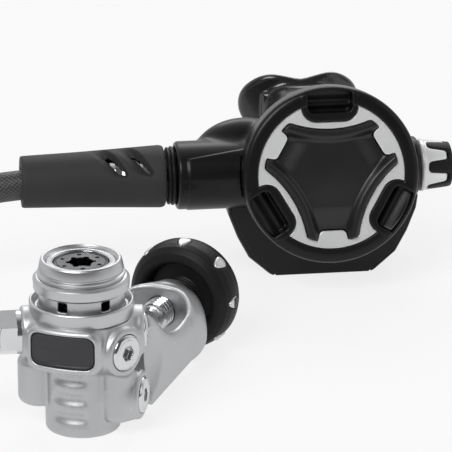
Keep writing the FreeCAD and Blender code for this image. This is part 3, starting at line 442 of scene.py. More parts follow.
def netOf(values, origin, step):
    # one vertex per cell that the surface crosses, one quad per crossed grid edge
    inside = values < 0
    nx, ny, nz = (n - 1 for n in values.shape)
    total = np.zeros((nx, ny, nz), dtype=np.int8)
    for i, j, k in cornerSteps:
        total += inside[i:nx + i, j:ny + j, k:nz + k]
    cells = np.argwhere((total > 0) & (total < 8))
    index = np.full((nx, ny, nz), -1, dtype=np.int64)
    index[tuple(cells.T)] = np.arange(len(cells))
    corner = np.stack([values[tuple((cells + shift).T)] for shift in cornerSteps], 1)
    place = np.zeros((len(cells), 3))
    crossings = np.zeros(len(cells))
    for a, b in edgeCorners:
        va, vb = corner[:, a], corner[:, b]
        hit = (va < 0) != (vb < 0)
        t = np.where(hit, va / np.where(hit, va - vb, 1), 0)
        pa, pb = np.array(cornerSteps[a]), np.array(cornerSteps[b])
        place += np.where(hit[:, None], pa + (pb - pa) * t[:, None], 0)
        crossings += hit
    verts = origin + (cells + place / crossings[:, None]) * step
    faces = []
    for axis in range(3):
        u, v = (axis + 1) % 3, (axis + 2) % 3
        crossed = inside != np.roll(inside, -1, axis)
        crossed[tuple(slice(-1, None) if k == axis else slice(None) for k in range(3))] = False
        edges = np.argwhere(crossed)
        for across in (u, v):
            edges = edges[(edges[:, across] > 0) & (edges[:, across] < inside.shape[across] - 1)]
        quads = []
        for du, dv in ((1, 1), (0, 1), (0, 0), (1, 0)):
            at = edges.copy()
            at[:, u] -= du
            at[:, v] -= dv
            quads.append(index[tuple(at.T)])
        quads = np.stack(quads, 1)
        leaving = inside[tuple(edges.T)]
        quads[~leaving] = quads[~leaving][:, ::-1]
        faces.append(quads)
    faces = np.concatenate(faces)
    return verts, faces[(faces >= 0).all(1)]


def settled(field, verts, step, passes=2):
    # moves the vertices onto the surface itself
    reach = 0.04
    for k in range(passes):
        value = field(Points(*verts.T))
        slope = np.empty_like(verts)
        for axis in range(3):
            shift = np.eye(3)[axis] * reach
            ahead, behind = field(Points(*(verts + shift).T)), field(Points(*(verts - shift).T))
            slope[:, axis] = (ahead - behind) / (2 * reach)
        steepness = np.maximum((slope ** 2).sum(1), 0.15)
        move = -(value / steepness)[:, None] * slope
        length = np.linalg.norm(move, axis=1)
        verts = verts + move * np.minimum(1, 0.6 * step / np.maximum(length, 1e-9))[:, None]
    return verts


def pieceFrom(name, verts, faces, place, finish, body):
    # a mesh object in metres from points in millimetres in a local frame
    matrix = np.array(place)
    verts = (np.asarray(verts) @ matrix[:3, :3].T + matrix[:3, 3]) / 1000
    mesh = bpy.data.meshes.new(name)
    mesh.from_pydata(verts.tolist(), [], faces)
    mesh.validate()
    mesh.shade_smooth()
    mesh.materials.append(finishes[finish])
    piece = added(name, mesh)
    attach(piece, body)
    return piece


def solid(name, field, low, high, step, place, finish, body):
    values, origin = sampled(field, low, high, step)
    verts, faces = netOf(values, origin, step)
    verts = settled(field, verts, step)
    print("made", name, len(verts), "points")
    return pieceFrom(name, verts, faces.tolist(), place, finish, body)


def ringFaces(rings, around, closed=False):
    # quads between rings of equal length, with a cap on both ends unless the last ring meets the first
    row = np.arange(rings if closed else rings - 1)[:, None] * around
    following = (row + around) % (rings * around)
    k = np.arange(around)[None]
    ahead = (k + 1) % around
    quads = np.stack([row + k, row + ahead, following + ahead, following + k], -1).reshape(-1, 4).tolist()
    first, last = list(range(around)), list(range((rings - 1) * around, rings * around))
    return quads if closed else quads + [first[::-1], last]


def arcCorner(before, corner, after, radius, steps=3):
    # replaces one corner of a profile by a small arc
    corner = Vector(corner)
    a, b = Vector(before) - corner, Vector(after) - corner
    half = a.angle(b) / 2
    reach = min(radius / math.tan(half), a.length * 0.45, b.length * 0.45) if half < 1.5 else 0
    if reach < 1e-4:
        return [tuple(corner)]
    start, end = corner + a.normalized() * reach, corner + b.normalized() * reach
    return [tuple(start * (1 - t) ** 2 + corner * 2 * t * (1 - t) + end * t * t)
            for t in (k / steps for k in range(steps + 1))]


def turnedPiece(name, profile, place, finish, body, segments=128, edge=0.25):
    # turned part about Z from (radius, height) corners, each corner broken by a small radius
    rounded = []
    for before, corner, after in zip(profile[-1:] + profile[:-1], profile, profile[1:] + profile[:1]):
        rounded += arcCorner(before, corner, after, edge)
    angles = np.linspace(0, 2 * math.pi, segments, endpoint=False)
    verts = [(r * math.cos(t), r * math.sin(t), z) for r, z in rounded for t in angles]
    piece = pieceFrom(name, verts, ringFaces(len(rounded), segments, True), place, finish, body)
    piece.data.set_sharp_from_angle(angle=math.radians(38))
    return piece


# Hose: a braided tube along a smooth line, its control points in metres
hose = {
    "diameter": 0.0114,
    "length": 0.5438,
    "exit": (-0.0226, 0.048, 0.0425),
    "strands": 24,
    "strandHeight": 0.00034,
    "strandSlant": 0.85,
    "around": 144,
    "ringStep": 0.0004,
    "route": [
        (-0.04346, 0.04802, 0.04245),
        (-0.107, 0.04802, 0.04245),
        (-0.166, 0.04902, 0.013),
        (-0.213, 0.04802, 0.0059),
        (-0.25788, 0.04802, 0.0058),
        (-0.29329, 0.0223, 0.0058),
        (-0.30682, -0.01933, 0.0058),
        (-0.29329, -0.06095, 0.0058),
        (-0.25788, -0.08668, 0.0058),
        (-0.206, -0.08768, 0.0075),
        (-0.151, -0.08668, 0.0355),
        (-0.10846, -0.08668, 0.0355),
    ],
}


def splineLine(name, points):
    # the smooth line of a spline with these control points
    curve = bpy.data.curves.new(name, "CURVE")
    curve.dimensions = "3D"
    curve.resolution_u = 24
    spline = curve.splines.new("NURBS")
    spline.points.add(len(points) - 1)
    for place, point in zip(spline.points, points):
        place.co = (*point, 1)
    spline.order_u = 3
    spline.use_endpoint_u = True
    holder = bpy.data.objects.new(name, curve)
    mesh = bpy.data.meshes.new_from_object(holder)
    line = np.array([v.co[:] for v in mesh.vertices])
    bpy.data.objects.remove(holder)
    bpy.data.curves.remove(curve)
    bpy.data.meshes.remove(mesh)
    return line


def evenly(line, step):
    lengths = np.concatenate(([0], np.cumsum(np.linalg.norm(np.diff(line, axis=0), axis=1))))
    at = np.linspace(0, lengths[-1], int(round(lengths[-1] / step)) + 1)
    return np.stack([np.interp(at, lengths, line[:, k]) for k in range(3)], 1), at


def rollFree(line):
    # directions across the line that don't twist along it
    way = np.gradient(line, axis=0)
    way /= np.linalg.norm(way, axis=1)[:, None]
    side = np.cross(way[0], (0, 0, 1.0))
    sides = []
    for ahead in way:
        side = side - ahead * side.dot(ahead)
        side /= np.linalg.norm(side)
        sides.append(side.copy())
    sides = np.array(sides)
    return sides, np.cross(way, sides)


def makeHose():
    line, at = evenly(splineLine("hoseLine", hose["route"]), hose["ringStep"] * (1))
    side, up = rollFree(line)
    around, radius, height = hose["around"], hose["diameter"] / 2, hose["strandHeight"]
    turn = np.linspace(0, 2 * math.pi, around, endpoint=False)
    strand = turn[None] / (2 * math.pi) * hose["strands"]
    slant = at[:, None] * (hose["strands"] / (2 * math.pi * radius) * hose["strandSlant"])
    first, second = strand + slant, strand - slant
    over = (np.floor(first) + np.floor(second)) % 2 < 1
    across = np.where(over, first % 1, second % 1)
    along = np.where(over, second % 1, first % 1)
    hump = np.sqrt(np.maximum(0, 1 - (2 * across - 1) ** 2)) * (0.6 + 0.4 * np.sin(math.pi * along))
    reach = radius - height + height * hump
    ring = side[:, None] * np.cos(turn)[None, :, None] + up[:, None] * np.sin(turn)[None, :, None]
    verts = (line[:, None] + ring * reach[..., None]).reshape(-1, 3)
    piece = pieceFrom("braidedHose", verts * 1000, ringFaces(len(line), around), rowFrame, "braid",
                      "regulator_body")
    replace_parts(piece, "hose")
    return piece, line


# Cover ring: a domed rim, three thumb lobes with a scooped pocket each
cover = {
    "radius": 33.5,
    "bore": 28.05,
    "depth": 10.0,
    "crown": 29.6,
    "shoulder": 1.8,
    "lobeReach": 20.1,
    "lobeHalf": 10.7,
    "lobeLong": 10,
    "lobeCorner": 5.6,
    "pocketReach": 23.5,
    "pocketHalf": 8.5,
    "pocketLong": 9.5,
    "pocketCorner": 2.4,
    "pocketLimit": 32.2,
    "pocketFloor": -6.4,
    "step": 0.3,
}


def lobeShape(q):
    middle = cover["lobeReach"] + cover["lobeLong"]
    return pill(q.y, q.x - middle, cover["lobeHalf"], cover["lobeLong"], cover["lobeCorner"])


def coverField(p):
    r = p.spread()
    q = repeat(p, 3, math.pi / 2)
    top = -0.05 - 0.05 * np.maximum(r - cover["crown"], 0) ** 2
    rim = both(both(r - cover["radius"], p.z - top, cover["shoulder"]), -cover["depth"] - p.z, 0.4)
    rim = both(rim, cover["bore"] - r, 0.35)
    lobe = both(both(lobeShape(q), p.z + 0.15, 0.7), np.maximum(-8.4 - p.z, r - 32), 0.2)
    web = np.maximum(np.abs(p.z + 8.3) - 0.5, np.maximum(r - 29, 12.6 - r))
    face = join(join(rim, lobe, 0.5), web)
    middle = cover["pocketReach"] + cover["pocketLong"]
    hollow = pill(q.y, q.x - middle, cover["pocketHalf"], cover["pocketLong"], cover["pocketCorner"])
    hollow = both(hollow, r - cover["pocketLimit"], 0.8)
    floor = cover["pocketFloor"] + 2.2 * smoothStep(q.x, 25.8, 32.0) + 0.8 * bulge(q.x, 26.2, 1.1)
    return carve(face, both(hollow, floor - p.z, 0.8), 0.6)


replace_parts(solid("coverRing", coverField, (-34.2, -34.2, -10.6), (34.2, 34.2, 0.8), cover["step"], faceFrame,
                  "moulding", "second_stage"), "cover_ring")


# Purge button: three concave sides between six fingers, with a ridge along each side
button = {
    "reach": 25.2,
    "notchReach": 20.9,
    "notchHalf": 5.0,
    "notchFlare": 0.28,
    "arcMiddle": (29.6, 51.27),
    "arcRadius": 42.1,
    "ridge": 0.8,
    "dish": 1.7,
    "middleRise": 0.7,
    "fall": 1.5,
    "edgeFall": 0.9,
    "plunger": 8.0,
    "gap": 0.3,
    "step": 0.28,
}


def buttonShape(p):
    # distances to the concave sides, to the notches and to the whole outline
    q = repeat(p, 3, -math.pi / 2)
    mx, my = button["arcMiddle"]
    side = button["arcRadius"] - np.hypot(q.x - mx, np.abs(q.y) - my)
    wall = (np.abs(q.y) - button["notchHalf"] - (q.x - button["notchReach"]) * button["notchFlare"]) * 0.963
    notch = both(wall, button["notchReach"] - q.x, 1.6)
    flat = carve(both(side, p.spread() - button["reach"], 0.9), notch, 0.6)
    return side, notch, flat


def buttonField(p):
    side, notch, flat = buttonShape(p)
    within = smoothStep(-side, 2.3, 5.0)
    dish = button["dish"] - button["middleRise"] * bulge(p.spread(), 0, 11.0)
    top = button["ridge"] - dish * within
    top = top - button["fall"] * (1 - smoothStep(notch, 0.2, 9.0)) * smoothStep(-side, 2.0, 6.4)
    top = top - button["edgeFall"] * (1 - smoothStep(-side, 0.0, 1.1))
    plate = both(both(flat, p.z - top, 0.35), -3.6 - p.z, 0.2)
    return join(plate, drum(p, button["plunger"], -7.4, -3.0, 0.3), 0.3)


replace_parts(solid("purgeButton", buttonField, (-26, -26, -7.9), (26, 26, 1.4), button["step"], faceFrame,
                  "buttonSatin", "button"), "purge_button")


# Trim plate: what the button and the lobes leave free inside the ring
trim = {
    "radius": 27.95,
    "lobeGap": 0.12,
    "top": -0.75,
    "slope": 0.02,
    "bottom": -2.4,
    "step": 0.26,
}


def trimField(p):
    flat = buttonShape(p)[2]
    shape = both(p.spread() - trim["radius"], button["gap"] - flat, 0.5)
    shape = both(shape, trim["lobeGap"] - lobeShape(repeat(p, 3, math.pi / 2)), 0.2)
    top = trim["top"] - trim["slope"] * (28 - p.spread())
    return both(both(shape, p.z - top, 0.35), trim["bottom"] - p.z, 0.1)


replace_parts(solid("silverTrim", trimField, (-28.6, -28.6, -3.0), (28.6, 28.6, 0), trim["step"], faceFrame,
                  "silverPlate", "second_stage"), "silver_trim")


# Case: a bowl behind the cover, the inlet collar, the bulge behind it and the knob's boss
case = {
    "profile": [(-6, -10.4), (32, -10.4), (32, -15), (31.2, -20), (28.4, -26), (23.5, -31), (17, -34),
                (9, -35), (-6, -35)],
    "cavity": [(-6, -4), (30.4, -4), (30.4, -11.8), (27.4, -16), (27.6, -20), (25.2, -25), (21, -29.2),
               (15, -32), (8, -33), (-6, -33)],
    "collarEnd": -57.0,
    "collarRadius": 13.0,
    "panelStart": -53.2,
    "panelAngles": (-95, 33),
    "panelSlant": 0.75,
    "bulgeAt": (-29.5, 4.6, -27.0),
    "bulgeSize": (20.5, 15.8, 11.0),
    "bossRadius": 11.2,
    "bossEnd": 36.0,
    "neck": (12.6, 7.6, 20, 42.2),
    "neckBore": (10.6, 5.6, 17, 46),
    "bores": [(11.3, -61.0, -46), (8.0, -50, -23.4), (6.3, 18, 40)],
    "step": 0.4,
}


def mouthPoints(p):
    # places seen from the middle of the mouth tube: X right, Y up, Z to the rear
    q = p.turn("X", -77.5).move(-1.5, 0, 4.5)
    return Points(q.x, q.z, q.y)


def ovalTube(q, halfWide, halfTall, start, end, edge=0.5):
    flat = np.hypot(np.maximum(np.abs(q.x) - halfWide + halfTall, 0), q.y) - halfTall
    return raised(flat, q.z, start, end, edge)


def caseField(p):
    depth = stagePlaces["barrelDepth"]
    b = p.move(0, 0, -depth).lying()
    q = mouthPoints(p)
    r = p.spread()
    whole = outline(r, p.z, case["profile"]) - 0.1
    hump = egg(p.move(*case["bulgeAt"]), *case["bulgeSize"])
    collar = drum(b, case["collarRadius"], case["collarEnd"], -20, 1.3)
    around = np.degrees(np.arctan2(p.y, p.z + depth))
    low, high = case["panelAngles"]
    high = high + (p.x - case["panelStart"]) * case["panelSlant"]
    panel = drum(b, case["collarRadius"] + 0.35, case["panelStart"], -26, 0.7)
    panel = both(both(panel, (around - high) * 0.22, 0.6), (low - around) * 0.22, 0.6)
    boss = drum(b, case["bossRadius"], 20, case["bossEnd"], 1.4)
    neck = ovalTube(q, *case["neck"], 0.6)
    for part, blend in ((hump, 3.0), (collar, 2.5), (panel, 0.35), (boss, 2.0), (neck, 2.0)):
        whole = join(whole, part, blend)
    whole = carve(whole, outline(r, p.z, case["cavity"]), 0.3)
    whole = carve(whole, ovalTube(q, *case["neckBore"], 0.4), 0.3)
    for radius, start, end in case["bores"]:
        whole = carve(whole, drum(b, radius, start, end, 0.3), 0.3)
    # inside the cover's rim nothing reaches in front of the seam
    return np.maximum(whole, p.z + 10.25 - 100 * (r > 33.7))


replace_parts(solid("caseShell", caseField, (-59, -32.8, -52), (38, 32.8, -6), case["step"], faceFrame,
                  "moulding", "second_stage"), "second_case")


# Tee: flat base, flared wings, side mouths
tee = {
    "wing": [(20.0, -9.0), (20.0, 0.0), (28.6, 7.6), (33.0, 16.0), (36.4, 25.0), (37.6, 34.0)],
    "seat": [(-6, 4), (33.9, 4), (33.9, -10.4), (32.1, -10.6), (32.1, -15), (31.3, -20), (28.5, -26),
             (23.6, -31), (17, -34.1), (9, -35.1), (-6, -35.1)],
    "front": 19.8,
    "roofBend": 32.3,
    "rear": 56.3,
    "top": 34.0,
    "rearTop": 27.0,
    "wall": 2.0,
    "mouthMiddle": (41.8, 13.0),
    "mouthHalf": (9.0, 7.6),
    "lineInset": 1.5,
    "step": 0.4,
}


def mirrored(half, flip):
    # a closed outline from one half of it
    return half + [(x * flip[0], y * flip[1]) for x, y in reversed(half)]


def teeShell(x, y, z, inset, edge):
    wings = outline(x, z, mirrored([(u - inset, v) for u, v in tee["wing"]], (-1, 1)))
    front, rear, top = tee["front"] + inset, tee["rear"] - inset, tee["top"] - inset
    rim = [(front, -9), (rear - 3, -9), (rear - 3, 0), (rear, 4), (rear, tee["rearTop"] - inset),
           (tee["roofBend"], top - 2), (front, top)]
    return both(wings, outline(y, z, rim), edge)


def teeField(p):
    x, y, z = p.x - faceX, p.y - faceY, p.z
    shell = both(teeShell(x, y, z, 0, 2.2), -z, 0.8)
    hollow = both(teeShell(x, y, z, tee["wall"], 1.5), tee["wall"] - z, 1.0)
    my, mz = tee["mouthMiddle"]
    openings = both(pill(y - my, z - mz, *tee["mouthHalf"], 3.0), 24.0 - np.abs(x), 0.6)
    shell = carve(carve(shell, hollow, 0.3), openings, 0.6)
    # the case and its barrel sink into the top
    tilt = math.radians(stagePlaces["faceTilt"])
    up = (z - faceZ) * math.cos(tilt) + y * math.sin(tilt)
    out = (z - faceZ) * math.sin(tilt) - y * math.cos(tilt)
    shell = carve(shell, outline(np.hypot(x, up), out, tee["seat"]), 0.3)
    axle = Points(x, up, out + stagePlaces["barrelDepth"]).lying()
    shell = carve(shell, drum(axle, 13.5, -70, -10, 0.3), 0.3)
    shell = carve(shell, drum(axle, 12.4, 10, 60, 0.3), 0.3)
    # a fine line along the wings, seen from the front
    line = np.abs(outline(x, z, mirrored(tee["wing"], (-1, 1))) + tee["lineInset"])
    groove = both(line - 0.28, y - tee["front"] - 8)
    return carve(shell, both(groove, -shell - 0.3), 0.1)


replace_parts(solid("exhaustTee", teeField, (faceX - 39, faceY + 19, -0.8), (faceX + 39, faceY + 57.2, 35),
                  tee["step"], rowFrame, "moulding", "second_stage"), "exhaust_tee")


# Mouthpiece: oval sleeve, bowed lip shield, two bite tabs
mouth = {
    "start": 40.3,
    "end": 69.3,
    "shift": 1.5,
    "height": 51.5,
    "lobe": 12.0,
    "bow": 46.0,
    "wall": 1.5,
    "step": 0.45,
}


def mouthField(p):
    q = Points(p.x - faceX + mouth["shift"], p.z - mouth["height"], p.y - faceY)
    start, end, half = mouth["start"], mouth["end"], mouth["wall"]
    sleeve = ovalTube(q, 14.4, 9.4, start - 3.4, end, 0.9)
    lobes = np.hypot(np.abs(q.x) - mouth["lobe"], q.y - 0.7) - mouth["lobe"]
    flat = join(lobes, pill(q.x, q.y - 1.9, 15, 9.9, 5), 6.0)
    radius = mouth["bow"] - half
    bow = np.hypot(q.x, q.z - end - radius) - radius
    shield = both(both(np.abs(bow) - half, flat, 2.2), q.z - end - 12, 0.4)
    tabs = block(Points(np.abs(q.x) - 13.6, q.y, q.z - end - 5.5), 1.6, 6.5, 6.5, 1.2)
    pads = block(Points(np.abs(q.x) - 14.8, q.y, q.z - end - 10.5), 4.4, 7.0, 1.7, 1.4)
    body = join(join(sleeve, shield, 3.0), join(tabs, pads, 1.2), 1.2)
    groove = both(0.2 - ovalTube(q, 13.8, 8.8, 30, 50, 0), np.abs(q.z - start) - 1.6, 0.4)
    body = carve(body, groove, 0.3)
    body = carve(body, ovalTube(q, 10.4, 5.4, 20, 99, 0.2), 0.8)
    return carve(body, ovalTube(q, 12.65, 7.65, 20, start + 2.05, 0.1), 0.2)


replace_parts(solid("mouthpieceSoft", mouthField, (faceX - 29, faceY + 36, 38), (faceX + 26, faceY + 82.5, 65),
                  mouth["step"], rowFrame, "silicone", "second_stage"), "mouthpiece")


# Knob: silver core with tapered fingers, black pads between them and a domed cap
knob = {
    "start": 36.5,
    "radius": 9.75,
    "taper": 0.115,
    "padStart": 39.2,
    "padEnd": 47.4,
    "padHalf": 2.05,
    "pads": 6,
    "ribPitch": 1.3,
    "ribHeight": 0.12,
    "capRadius": 8.75,
    "end": 50.0,
    "step": 0.26,
}


def knobShapes(p):
    b = p.lying()
    along = b.z
    radius = knob["radius"] - knob["taper"] * np.maximum(along - 38.2, 0)
    q = repeat(Points(p.z, p.y, p.x), knob["pads"])
    half = knob["padHalf"] + 0.1 * (along - knob["padStart"])
    pad = both(np.abs(q.y) - half, knob["padStart"] - along, 1.6)
    return along, radius, b.spread(), pad


def knobField(p):
    along, radius, spread, pad = knobShapes(p)
    core = both(spread - radius, np.maximum(knob["start"] - along, along - knob["padEnd"]), 0.9)
    core = join(core, both(spread - 10.05, np.abs(along - 37.6) - 0.6, 0.7), 0.5)
    core = both(core, along - 46.9, 1.8)
    core = carve(core, both(pad, 6.4 - spread, 0.2), 0.35)
    return carve(core, spread - 2.5)


def knobPadField(p):
    along, radius, spread, pad = knobShapes(p)
    pads = both(both(both(pad + 0.12, spread - radius - 0.12, 0.9), 6.5 - spread, 0.1), along - 47.6, 0.4)
    ribs = knob["ribHeight"] * np.cos(2 * math.pi * along / knob["ribPitch"]) * (spread > 8)
    cap = drum(p.lying(), knob["capRadius"], 47.2, knob["end"], 1.5)
    dome = both(cap, np.hypot(spread, along - 26) - 24.1, 0.8)
    return carve(join(pads + 0.3 * np.maximum(ribs, 0), dome, 0.5), drum(p.lying(), 2.6, 40, 48.5, 0.2), 0.1)


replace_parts(solid("knobCore", knobField, (36, -10.6, -10.6), (48, 10.6, 10.6), knob["step"], barrelFrame,
                  "knobSilver", "knob"), "adjust_knob")
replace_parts(solid("knobPads", knobPadField, (38.4, -10.6, -10.6), (50.6, 10.6, 10.6), knob["step"],
                  barrelFrame, "mattMoulding", "knob"), "knob_grip")


# Sleeve over the hose end, with two slanted scoops that open at their deep edge
sleeve = {
    "profile": [(-116, 5.78), (-116, 9.9), (-114, 9.9), (-94, 10.5), (-63.4, 11.9), (-61, 11.5), (-61, 5.3),
                (-62.6, 5.3), (-62.6, 8.1), (-83, 8.1), (-85.4, 5.78)],
    "skinAlong": (-116, -94, -63.4, -61),
    "skinRadius": (9.9, 10.5, 11.9, 11.9),
    "angles": [0, 8, 20, 50, 80, 110, 150],
    "left": [-80.0, -82.4, -85.6, -87.4, -91.2, -95.5, -99.0],
    "right": [-75.0, -75.5, -76.1, -79.4, -82.9, -86.5, -91.0],
    "apart": 9.7,
    "depth": 3.6,
    "step": 0.36,
}


def scoopDepth(along, angle):
    # how far the scoops go into the sleeve: a slow slope from the left, a steep wall at the right
    left = np.interp(angle, sleeve["angles"], sleeve["left"])
    right = np.interp(angle, sleeve["angles"], sleeve["right"])
    ends = smoothStep(angle, 3.0, 16.0) * (1 - smoothStep(angle, 60.0, 98.0))
    total = 0
    for shift in (0, sleeve["apart"]):
        place = (along - shift - left) / (right - left)
        total = np.maximum(total, smoothStep(place, 0.0, 0.86) * (1 - smoothStep(place, 0.86, 1.02)))
    return total * ends * sleeve["depth"]


def sleeveField(p):
    b = p.lying()
    tube = outline(b.z, b.spread(), sleeve["profile"]) - 0.05
    tube = both(tube, drum(b, 30, -115.9, -61.1, 2.2), 1.6)
    surface = np.interp(b.z, sleeve["skinAlong"], sleeve["skinRadius"])
    depth = scoopDepth(b.z, np.degrees(np.arctan2(p.y, p.z)))
    return both(tube, (b.spread() - surface + depth) * 0.45 - 0.02, 0.25)


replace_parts(solid("hoseBoot", sleeveField, (-117, -13, -13), (-60, 13, 13), sleeve["step"], barrelFrame,
                  "sleeveRubber", "regulator_body"), "hose_sleeve")

swivelProfile = [(4.87, -60.5), (10.2, -60.5), (10.9, -60.2), (10.9, -59.5), (10.2, -59.2), (10.2, -59.0),
                 (11.2, -58.8), (11.2, -57.9), (10.4, -57.7), (10.4, -57.3), (8.8, -57.0), (8.8, -46.0),
                 (7.1, -46.0), (7.1, -53.5), (4.87, -53.5)]
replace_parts(turnedPiece("swivelNut", swivelProfile, barrelFrame @ xForward, "mattMoulding", "second_stage"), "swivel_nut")


# First stage body: round foot, two grip lobes with scoops between them, upper block, bosses, label panel
base = {
    "foot": 13.0,
    "lobes": [(164.5, 15.03, 7.6, 8.0), (-39.5, 14.2, 5.8, 5.0)],
    "lobeTop": 25.6,
    "block": [(-6, 23.2), (13.0, 23.2), (18.4, 28.4), (18.4, 41.4), (-6, 41.4)],
    "neck": 15.9,
    "neckTop": 44.9,
    "chamber": 14.95,
    "bottomBore": 9.1,
    "ports": [(-49.5, 32.2, 21.0), (-8.5, 35.4, 21.5), (-20.0, 13.0, 21.5)],
    "hosePort": (180.0, 35.5, 21.0),
    "hoseBore": 4.85,
    "boss": 8.6,
    "plug": 6.35,
    "pinHole": (-8.0, 6.4, 1.15),
    "inlet": 13.0,
    "inletEnd": 17.5,
    "scoops": (7.2, 14.2, 21.2),
    "scoopAngle": -117.0,
    "scoopHalf": 3.3,
    "scoopDepth": 1.05,
    "scoopWidth": 7.8,
    "labelAngle": -116.0,
    "labelHeight": 34.4,
    "labelReach": 19.9,
    "labelRaise": 0.75,
    "labelBow": 40.0,
    "step": 0.34,
}


def labelShapes(p, reach):
    # distance to the bowed skin, and the places as seen from the middle of the label
    q = outward(p, base["labelAngle"], base["labelHeight"])
    return np.hypot(q.z - reach + base["labelBow"], q.x) - base["labelBow"], q


def bodyField(p):
    r = p.spread()
    whole = drum(p, base["foot"], 0, 26, 0.9)
    for angle, reach, radius, low in base["lobes"]:
        turn = math.radians(angle)
        q = p.move(reach * math.cos(turn), reach * math.sin(turn))
        whole = join(whole, drum(q, radius, low, base["lobeTop"], 3.0), 1.2)
    whole = join(whole, outline(r, p.z, base["block"]) - 0.02, 1.6)
    skin, label = labelShapes(p, base["labelReach"] + base["labelRaise"])
    panel = rolled(np.maximum(skin, -9 - skin), pill(label.x, label.y + 0.3, 13.6, 7.9, 4.4), 1.6)
    whole = join(whole, panel, 1.8)
    whole = join(whole, drum(p, base["neck"], 36, base["neckTop"], 0.4), 0.4)
    for angle, height, reach in base["ports"]:
        q = outward(p, angle, height)
        whole = join(whole, drum(q, base["boss"], 0, reach, 1.3), 2.6)
        whole = carve(whole, drum(q, base["plug"] + 0.12, reach - 2.4, reach + 4, 0.1), 0.35)
    angle, height, reach = base["hosePort"]
    q = outward(p, angle, height)
    whole = join(whole, drum(q, base["boss"] + 0.4, 0, reach, 1.2), 2.4)
    whole = carve(whole, drum(q, base["hoseBore"], reach - 5, reach + 3, 0.1), 0.4)
    q = outward(p, stagePlaces["yokeTurn"], stagePlaces["yokeHeight"])
    whole = join(whole, drum(q, base["inlet"], 0, base["inletEnd"], 0.6), 3.0)
    # finger scoops with soft edges, shallow waves in the round lower body
    q = outward(p, base["scoopAngle"], 0)
    wave = 0
    for height in base["scoops"]:
        near = np.clip(np.abs(q.y - height) / base["scoopHalf"], 0, 1)
        wave = np.maximum(wave, 0.5 + 0.5 * np.cos(math.pi * near))
    around = np.abs(np.arctan2(q.x, q.z)) * base["foot"]
    depth = base["scoopDepth"] * wave * (1 - smoothStep(around, 4.2, base["scoopWidth"]))
    scoop = (base["foot"] - depth - r) * 0.8
    lowest, highest = base["scoops"][0] - base["scoopHalf"], base["scoops"][-1] + base["scoopHalf"]
    band = np.maximum(q.y - highest, lowest - q.y)
    whole = carve(whole, np.maximum(np.maximum(scoop, band), around - base["scoopWidth"]), 0.25)
    whole = carve(whole, both(pill(label.x, label.y, 11.5, 5.9, 3.2), -skin - 1.7, 0.2), 0.7)
    angle, height, radius = base["pinHole"]
    whole = carve(whole, drum(outward(p, angle, height), radius, 13, 30, 0.1), 0.5)
    whole = np.maximum(whole, p.z - base["neckTop"])
    whole = carve(whole, drum(p, base["chamber"], 33.8, 50, 0.2), 0.3)
    whole = carve(whole, drum(p, base["bottomBore"], -4, 8.1, 0.2), 0.4)
    return np.maximum(whole, -p.z)


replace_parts(solid("firstBody", bodyField, (-23, -23, -0.8), (23.5, 20, 46.4), base["step"], bodyFrame,
                  "satinMetal", "regulator_body"), "first_stage_body")


def labelField(p):
    skin, q = labelShapes(p, base["labelReach"] + 0.05)
    edge = pill(q.x, q.y, 11.25, 5.65, 3.0)
    border = 0.25 * smoothStep(edge, -0.9, -0.5)
    return rolled(np.maximum(skin - border, -1.0 - skin), edge, 0.25)


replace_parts(solid("labelPanel", labelField, (-19, -26, 27.5), (3, -11, 41), 0.26, bodyFrame,
                  "labelPlate", "regulator_body"), "label_plate")


# Port plugs: bevelled chrome discs with a ring groove and a hexagon socket
def plugField(q, reach):
    head = drum(q, base["plug"], reach - 2.1, reach + 0.95, 0.2)
    head = both(head, (q.spread() + q.z - base["plug"] - reach - 0.1) * 0.707, 0.2)
    head = carve(head, np.maximum(np.abs(q.spread() - 5.0) - 0.22, reach + 0.8 - q.z), 0.15)
    return carve(head, rolled(hexDistance(q, 4.8), np.abs(q.z - reach - 1.3) - 2.5, 0.1), 0.3)


def plugsField(p):
    found = [plugField(outward(p, angle, height), reach) for angle, height, reach in base["ports"]]
    return np.minimum.reduce(found)


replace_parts(solid("portCaps", plugsField, (5, -22, 5), (23.6, 6, 43), 0.26, bodyFrame, "chromeMetal",
                  "regulator_body"), "port_plugs")


# Spring housing: a waist with water windows, then turned rings and grooves
housing = {
    "waist": [(11.3, 35.05), (14.9, 35.05), (14.9, 50.8), (11.3, 50.8)],
    "windows": 6,
    "windowTurn": -1.2,
    "windowHeight": 48.3,
    "windowHalf": 1.7,
    "rings": [(11.3, 50.3), (14.95, 50.3), (15.5, 50.9), (16.5, 51.3), (16.6, 54.6), (15.6, 55.4),
              (14.6, 55.6), (14.6, 56.0), (15.1, 56.2), (15.1, 56.9), (14.3, 57.2), (14.3, 57.7),
              (14.65, 58.1), (14.0, 61.1), (13.5, 61.7), (12.9, 61.7), (12.5, 61.2), (12.1, 60.9),
              (12.1, 57.9), (11.3, 57.9)],
    "collar": [(15.95, 41.45), (17.5, 41.45), (18.05, 42.0), (18.05, 46.5), (17.6, 47.0), (17.2, 47.0),
               (15.95, 45.0)],
    "lock": [(9.65, 58.5), (12.05, 58.5), (12.05, 60.2), (11.4, 60.8), (10.2, 60.8), (9.65, 60.3)],
    "step": 0.3,
}


def waistField(p):
    tube = outline(p.spread(), p.z, housing["waist"]) - 0.02
    q = repeat(p, housing["windows"], math.radians(housing["windowTurn"]))
    half = housing["windowHalf"]
    window = raised(pill(q.y, q.z - housing["windowHeight"], half, half, 0.6), q.x, 8, 20, 0)
    return carve(tube, window, 0.4)


